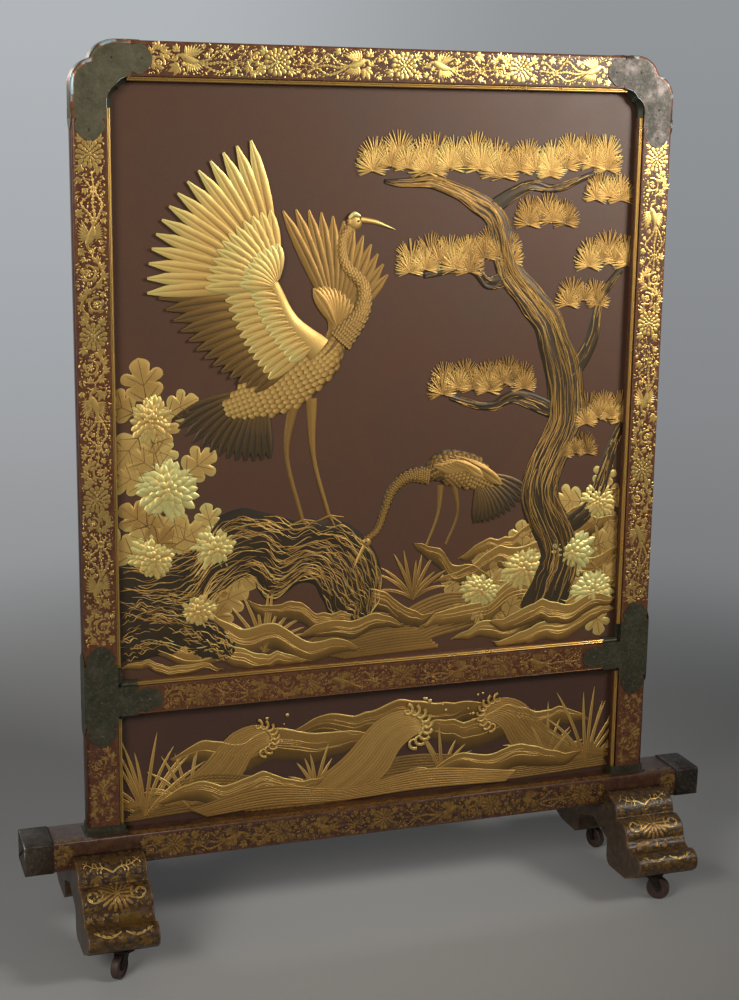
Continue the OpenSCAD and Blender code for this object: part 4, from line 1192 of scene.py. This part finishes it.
def combed(art, first, last, count, tone, end_tone, crest, n, base):
    """Ribbons side by side that run from one curve to another, like currents"""
    a, b = curve(first, n), curve(last, n)
    gap = np.linalg.norm(b - a, axis=1) / count
    for k in range(count):
        path = a + (b - a) * (k + 0.5) / count
        art.stroke(path, gap * 0.56, crest, tone + rng.uniform(-0.05, 0.05), end_tone, base)


def ridge(art, points, depth, tone, base, lines=5):
    """A bank with a crisp pale upper edge that fades downwards, and fine lines along it"""
    n, crest = 12 * len(points), 1.3
    edge = curve(points, n)
    edge[:, 1] += wobble(n, 3.2, 4)
    s = np.linspace(0, 1, n)
    drop = depth * np.sin(np.pi * np.clip(s * 1.02, 0, 1)) ** 0.6 + 1.0 + wobble(n, 0.06 * depth, 5)
    share, height, shift = np.array([(0, -0.1, 0.26), (0.012, 0.8, 0.3), (0.035, 1.0, 0.26),
                                     (0.07, 0.66, 0.08), (0.3, 0.52, 0.04), (0.6, 0.38, -0.06),
                                     (0.84, 0.2, -0.16), (1.0, -0.05, -0.3)]).T
    u = edge[:, None, 0] + 0 * share
    art.grid(u, edge[:, None, 1] - drop[:, None] * share, base + crest * height + 0 * u, shift + tone)
    for k in range(lines):
        share = rng.uniform(0.22, 0.7)
        i, j = sorted((rng.randrange(2, n // 2), rng.randrange(n // 2, n - 2)))
        line = np.stack([edge[i:j, 0], edge[i:j, 1] - drop[i:j] * share + wobble(j - i, 1.6, 5)], 1)
        if len(line) > 4:
            taper = 0.2 + 0.8 * np.sin(np.linspace(0.15, 3.0, len(line)))
            art.stroke(line, taper, 0.5, tone + 0.16, None, base + crest * (0.56 - 0.35 * share), FLAT)


def reeds(art, at, spread, count, length, tone):
    """Long blades that bend outwards from one root"""
    s = np.linspace(0, 1, 12)
    halves = 3.2 * np.sin(np.pi * (0.12 + 0.88 * s)) ** 0.7 + 0.2
    for k in range(count):
        u = (k + 0.5) / count * 2 - 1
        a = math.pi / 2 - u * spread + rng.uniform(-0.08, 0.08)
        reach = length * rng.uniform(0.7, 1.05) * (1 - 0.2 * abs(u))
        path = blade_path(at, a, reach, -u * 0.9 + rng.uniform(-0.2, 0.2), 12)
        art.stroke(path, halves, 1.3, tone - 0.1, tone + 0.12, rng.uniform(0, 0.8), VEIN)


def window(low, high):
    """Places a drawing on a panel's face, inside the opening of the frame"""
    reach = SIGHT_HALF - 0.3
    return lambda u, v, h: np.stack([np.clip(u, -reach, reach), -h, np.clip(v, low + 0.3, high - 0.3)], 1)


picture = Relief(window(MID_HIGH, SIGHT_TOP))

# The rock on the left
crag(picture, [(-441, 640), (-380, 640), (-320, 660), (-262, 716), (-200, 706), (-150, 690), (-100, 690),
               (-52, 674), (-6, 620), (8, 566), (-14, 520)],
     [(-441, 540), (-386, 520), (-330, 500), (-290, 560), (-236, 590), (-190, 560), (-130, 580), (-104, 556),
      (-84, 526), (-62, 504), (-34, 500)], 3.0, 330)
crag(picture, [(-441, 560), (-400, 580), (-340, 566), (-290, 540), (-256, 506), (-250, 478)],
     [(-441, 470), (-400, 480), (-350, 476), (-320, 470), (-290, 462), (-262, 464)], 2.6, 110, 0.8)

# Banks, from the furthest to the nearest, and the stream between them
for points, depth, tone in (
        ([(441, 712), (396, 704), (340, 676), (290, 672), (236, 640), (190, 634), (140, 604)], 52, 0.5),
        ([(441, 662), (380, 664), (330, 640), (262, 620), (212, 622), (160, 592), (96, 570)], 48, 0.54),
        ([(60, 640), (104, 628), (130, 600), (176, 590), (214, 560)], 40, 0.44),
        ([(441, 610), (400, 590), (352, 594), (300, 566), (240, 560), (190, 530), (120, 520), (72, 492)],
         50, 0.56),
        ([(-441, 536), (-396, 556), (-350, 540), (-300, 548), (-240, 514), (-190, 520), (-130, 486),
          (-70, 482), (-30, 462)], 46, 0.54),
        ([(-70, 556), (-20, 566), (24, 548), (60, 520), (100, 512)], 36, 0.46),
        ([(441, 548), (392, 540), (350, 520), (300, 522), (240, 492), (186, 490), (130, 462)], 40, 0.6),
        ([(-441, 500), (-386, 510), (-330, 488), (-270, 494), (-214, 470), (-170, 468), (-120, 450)],
         34, 0.6),
        ([(441, 498), (400, 506), (350, 486), (292, 480), (250, 462), (206, 452)], 34, 0.62),
        ([(-230, 560), (-190, 548), (-150, 556), (-110, 530), (-60, 528), (-20, 508)], 34, 0.48),
        ([(-441, 466), (-400, 474), (-360, 462), (-310, 462), (-270, 449)], 16, 0.56)):
    ridge(picture, points, depth, tone, 0.3 + 0.35 * (720 - points[0][1]) / 60)
combed(picture, [(30, 520), (-30, 520), (-90, 500), (-150, 470)],
       [(110, 452), (50, 450), (-20, 448), (-60, 447)], 15, 0.5, 0.4, 0.8, 26, 0.6)
combed(picture, [(190, 540), (120, 548), (60, 530), (20, 500)],
       [(220, 500), (150, 480), (100, 470), (50, 452)], 12, 0.44, 0.52, 0.8, 26, 0.4)

tall_crane(picture, (-128, 688), 1.14, False)
low_crane(picture, (118, 632), 1.0, True)

# The pine: five boughs, then the trunk over their roots, and its pads of needles
for points, halves, crest, lines in (
        ([(330, 640), (392, 690), (420, 780), (441, 830)], [20, 15, 11, 8], 3.6, 34),
        ([(322, 900), (370, 960), (388, 1040), (424, 1090)], [18, 13, 9, 6], 3.4, 30),
        ([(326, 846), (240, 880), (190, 866), (120, 884)], [16, 12, 8, 5], 3.2, 28),
        ([(226, 1086), (184, 1072), (150, 1096), (70, 1086)], [15, 11, 8, 5], 3.2, 28),
        ([(180, 1190), (246, 1228), (300, 1226), (366, 1250)], [14, 10, 8, 5], 3.0, 28),
        ([(296, 500), (330, 600), (288, 720), (334, 850), (300, 990), (222, 1090), (190, 1180), (96, 1230),
          (0, 1236)], [46, 40, 37, 34, 30, 24, 19, 13, 6], 4.2, 250)):
    bough(picture, points, halves, crest, lines)
for at, width, r, tone in (
        ((404, 842), 90, 34, 0.6), ((352, 782), 70, 30, 0.52), ((400, 1108), 96, 38, 0.66),
        ((356, 1040), 84, 34, 0.58), ((146, 902), 110, 36, 0.64), ((222, 906), 80, 32, 0.56),
        ((96, 1104), 130, 38, 0.66), ((186, 1118), 96, 34, 0.6), ((340, 1268), 130, 40, 0.72),
        ((246, 1256), 110, 36, 0.66), ((136, 1262), 140, 42, 0.72), ((22, 1262), 120, 40, 0.68),
        ((284, 1176), 90, 34, 0.6), ((396, 1216), 70, 34, 0.66)):
    pine_pad(picture, at, width, r, tone)

# The foreground: banks over the foot of the tree and of the rock, reeds and flowers
ridge(picture, [(441, 516), (396, 528), (346, 512), (296, 522), (246, 502), (196, 488)], 38, 0.58, 3.4)
ridge(picture, [(-140, 496), (-96, 516), (-50, 512), (0, 520), (44, 496)], 30, 0.52, 2.6)
for at, spread, count, length, tone in (((-200, 470), 0.9, 13, 120, 0.6), ((414, 560), 0.8, 9, 140, 0.6),
                                        ((60, 540), 0.9, 11, 96, 0.52)):
    reeds(picture, at, spread, count, length, tone)
for stem, flowers, leaves, size in (
        ([(330, 508), (300, 560), (330, 600)], [((352, 604), 54, 0.98), ((262, 580), 48, 0.9)], 4, 70),
        ([(250, 470), (200, 520), (180, 560)], [((184, 548), 42, 0.92)], 3, 60),
        ([(400, 520), (396, 600), (408, 680)], [((398, 690), 38, 0.9), ((396, 530), 48, 1.0)], 4, 60),
        ([(-360, 520), (-396, 640), (-372, 760), (-396, 860)],
         [((-384, 864), 42, 0.84), ((-360, 752), 54, 0.98), ((-384, 640), 46, 0.9)], 7, 72),
        ([(-300, 500), (-310, 560), (-284, 630)], [((-280, 650), 48, 0.94), ((-312, 548), 42, 0.86)],
         4, 62)):
    spray(picture, stem, flowers, leaves, size)
picture.build("upper_picture", relief_gold, "gold_bead")

water = Relief(window(BEAM_TOP, MID_LOW))


def swell(at, size, flip, count, tone, base):
    """A wave whose currents rise to a crest that breaks in curls"""
    def put(points):
        return turned(points, 0, at, size, flip)
    outer = put([(-190, -66), (-120, -52), (-56, -14), (-6, 36), (40, 46), (66, 22)])
    inner = put([(-60, -74), (-20, -60), (10, -36), (26, -8), (44, 8), (60, 14)])
    combed(water, outer, inner, count, tone, tone + 0.14, 0.9, 30, base)
    for k in range(9):
        a = 1.5 - k * 0.33
        root = put([(34 + 30 * math.cos(a), 22 + 24 * math.sin(a))])[0]
        curl = spiral(root, 9 * size, 2 * size, math.pi - a if flip else a, 0.8 if flip else -0.8, 10)
        water.stroke(curl, np.linspace(2.6, 1.0, 10) * size, 1.6, tone + 0.2, tone + 0.3, base + 1.0)
    for k in range(7):
        drop = put([(60 + rng.uniform(-10, 34), 36 + rng.uniform(-26, 26))])[0]
        water.disc(drop, rng.uniform(1.4, 3.0) * size, 1.4, tone + 0.3, base + 0.6, 10)


for points, depth, tone in (
        ([(-150, 330), (-90, 352), (-30, 346), (40, 366), (110, 350), (170, 352), (230, 326)], 60, 0.44),
        ([(-360, 300), (-300, 326), (-240, 318), (-180, 338), (-110, 318), (-50, 320), (10, 296)], 56, 0.5),
        ([(40, 300), (110, 322), (170, 314), (240, 336), (300, 318), (350, 322), (404, 292)], 56, 0.5)):
    ridge(water, points, depth, tone, 0.2, 6)
swell((-250, 296), 1.05, False, 13, 0.5, 0.8)
swell((262, 298), 1.1, True, 13, 0.48, 0.8)
combed(water, [(-400, 236), (-300, 268), (-120, 240), (60, 262), (250, 240), (410, 250)],
       [(-441, 200), (-300, 204), (-120, 196), (60, 200), (250, 196), (441, 202)],
       12, 0.4, 0.46, 0.8, 60, 0.8)
swell((6, 284), 1.3, False, 15, 0.56, 1.6)
ridge(water, [(-380, 232), (-320, 256), (-260, 246), (-200, 262), (-140, 238), (-90, 240)], 44, 0.54, 1.8, 6)
ridge(water, [(90, 228), (150, 254), (210, 246), (270, 262), (330, 240), (390, 232)], 44, 0.54, 1.8, 6)
combed(water, [(-330, 210), (-200, 236), (-60, 216), (90, 234), (260, 212)],
       [(-300, 194), (-190, 198), (-60, 194), (80, 198), (240, 194)], 8, 0.52, 0.6, 0.9, 40, 2.6)
for at, spread, count, length in (
        ((-404, 206), 0.95, 15, 160), ((-330, 214), 0.8, 11, 124), ((398, 204), 0.95, 15, 166),
        ((320, 214), 0.8, 11, 116), ((120, 214), 0.9, 9, 96), ((-110, 214), 0.9, 9, 92)):
    reeds(water, at, spread, count, length, 0.62)
water.build("lower_picture", relief_gold, "gold_bead")


# Stage, light and camera

def stage():
    """A round floor that curves up into a backdrop on all sides"""
    profile = [(0.0, 0.0), (1.5, 0.0), (3.0, 0.0), (4.5, 0.0), (5.2, 0.07), (5.8, 0.35), (6.2, 0.9),
               (6.4, 1.7), (6.45, 2.6), (6.45, 7.0)]
    n = 96
    a = np.linspace(0, TURN, n, endpoint=False)
    verts = [(r * c, r * s, z) for r, z in profile for c, s in zip(np.cos(a), np.sin(a))]
    faces = [(i * n + k, i * n + (k + 1) % n, (i + 1) * n + (k + 1) % n, (i + 1) * n + k)
             for i in range(len(profile) - 1) for k in range(n)]
    mesh = bpy.data.meshes.new("stage")
    mesh.from_pydata(verts, [], faces)
    mesh.polygons.foreach_set("use_smooth", [True] * len(mesh.polygons))
    obj = bpy.data.objects.new("stage", mesh)
    bpy.context.scene.collection.objects.link(obj)
    mesh.materials.append(stage_look())
    obj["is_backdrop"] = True


def stage_look():
    """A matt floor that keeps the shadows, and further out a pale glow with painted light and shade:
    brighter with distance and height, darker to the right
    """
    g = Graph("stage")
    place = g.axes()
    x, y, z = place["X"], place["Y"], place["Z"]
    cloud = g.noise(0.7, 2)
    g.shade({"Base Color": g.mix(g.calc("MULTIPLY", cloud, 0.1), (0.44, 0.44, 0.435), (0.52, 0.52, 0.52)),
             "Roughness": 0.7})
    length = g.nodes.new("ShaderNodeVectorMath")
    length.operation = "LENGTH"
    g.links.new(g.where, length.inputs[0])
    far = length.outputs["Value"]
    # painted light: the glow grows brighter further out and higher up
    away = g.calc("ADD", g.calc("MULTIPLY", far, 0.1), g.calc("MULTIPLY", z, 0.12))
    away = g.calc("ADD", away, g.calc("MULTIPLY", cloud, 0.02))
    colour = g.ramp(away, (0.1, (0.26, 0.26, 0.263)), (0.3, (0.3, 0.305, 0.312)),
                    (0.48, (0.34, 0.35, 0.365)), (0.65, (0.375, 0.39, 0.41)),
                    (0.9, (0.44, 0.465, 0.485)), (1.0, (0.46, 0.485, 0.51)))
    # painted shade: the glow darkens towards the right, up to 40 % of the way to near black
    side = g.calc("SUBTRACT", g.calc("MULTIPLY", x, 0.33), g.calc("MULTIPLY", y, 0.11))
    side = g.ramp(g.calc("ADD", side, 0.5), (0.1, 0.0), (0.9, 0.4), ease=True)
    glow = g.nodes.new("ShaderNodeEmission")
    g.feed(glow.inputs["Color"], g.mix(side, colour, (0.06, 0.06, 0.062)))
    path = g.nodes.new("ShaderNodeLightPath").outputs
    seen = g.calc("MAXIMUM", path["Is Glossy Ray"], path["Is Transmission Ray"])
    seen = g.calc("MAXIMUM", path["Is Camera Ray"], seen)
    front = g.ramp(g.calc("ADD", g.calc("MULTIPLY", y, 0.08), 0.5), (0.3, 0.3), (0.6, 1.0))
    front = g.calc("MAXIMUM", front, path["Is Camera Ray"])
    strength = g.calc("MULTIPLY", g.calc("MULTIPLY", seen, front), 0.75)
    g.feed(glow.inputs["Strength"], g.calc("ADD", strength, 0.25))
    edge = g.ramp(g.calc("MULTIPLY", far, 0.2), (0.2, 0.0), (0.56, 1.0), ease=True)
    both = g.nodes.new("ShaderNodeMixShader")
    for socket, value in enumerate((edge, g.shader.outputs[0], glow.outputs[0])):
        g.links.new(value, both.inputs[socket])
    g.links.new(both.outputs[0], g.nodes["Material Output"].inputs["Surface"])
    return g.material


def lamp(name, at, aim, size, power, colour, spread):
    """A square area lamp with its power in watts and its spread in degrees"""
    data = bpy.data.lights.new(name, "AREA")
    data.shape = "RECTANGLE"
    data.size = data.size_y = size
    data.energy = power
    data.color = colour
    data.spread = math.radians(spread)
    obj = bpy.data.objects.new(name, data)
    bpy.context.scene.collection.objects.link(obj)
    obj.location = at
    obj.rotation_euler = (Vector(aim) - Vector(at)).to_track_quat("-Z", "Y").to_euler()


def camera():
    yaw, pitch, roll = (math.radians(a) for a in (18.925, -12.006, 0.728))
    look = Vector((math.sin(yaw) * math.cos(pitch), math.cos(yaw) * math.cos(pitch), math.sin(pitch)))
    level = Vector((math.cos(yaw), -math.sin(yaw), 0))
    above = level.cross(look)
    right = level * math.cos(roll) + above * math.sin(roll)
    up = above * math.cos(roll) - level * math.sin(roll)
    data = bpy.data.cameras.new("camera")
    data.sensor_width = 36.0
    data.lens = 59.94
    data.clip_end = 100.0
    obj = bpy.data.objects.new("camera", data)
    bpy.context.scene.collection.objects.link(obj)
    basis = Matrix((right, up, -look)).transposed()
    obj.matrix_world = Matrix.Translation((-0.89496, -2.5528, 1.29099)) @ basis.to_4x4()
    bpy.context.scene.camera = obj


stage()
camera()
lamp("key", (1.6, -1.5, 1.9), (0.35, 0, 1.4), 0.7, 12.5, (1, 0.97, 0.92), 80)
lamp("fill", (-2.4, -2.2, 1.9), (-0.2, 0, 1.1), 1.3, 26, (1, 0.96, 0.9), 120)
lamp("back", (-1.6, 2.9, 2.2), (0, 0, 1.05), 0.6, 2.2, (1, 0.98, 0.95), 36)
world = bpy.data.worlds.new("world")
bpy.context.scene.world = world
world.use_nodes = True
world.node_tree.nodes["Background"].inputs["Color"].default_value = (0.96, 0.95, 0.93, 1)
world.node_tree.nodes["Background"].inputs["Strength"].default_value = 0.085
bpy.context.scene.view_settings.view_transform = "Standard"

low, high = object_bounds()
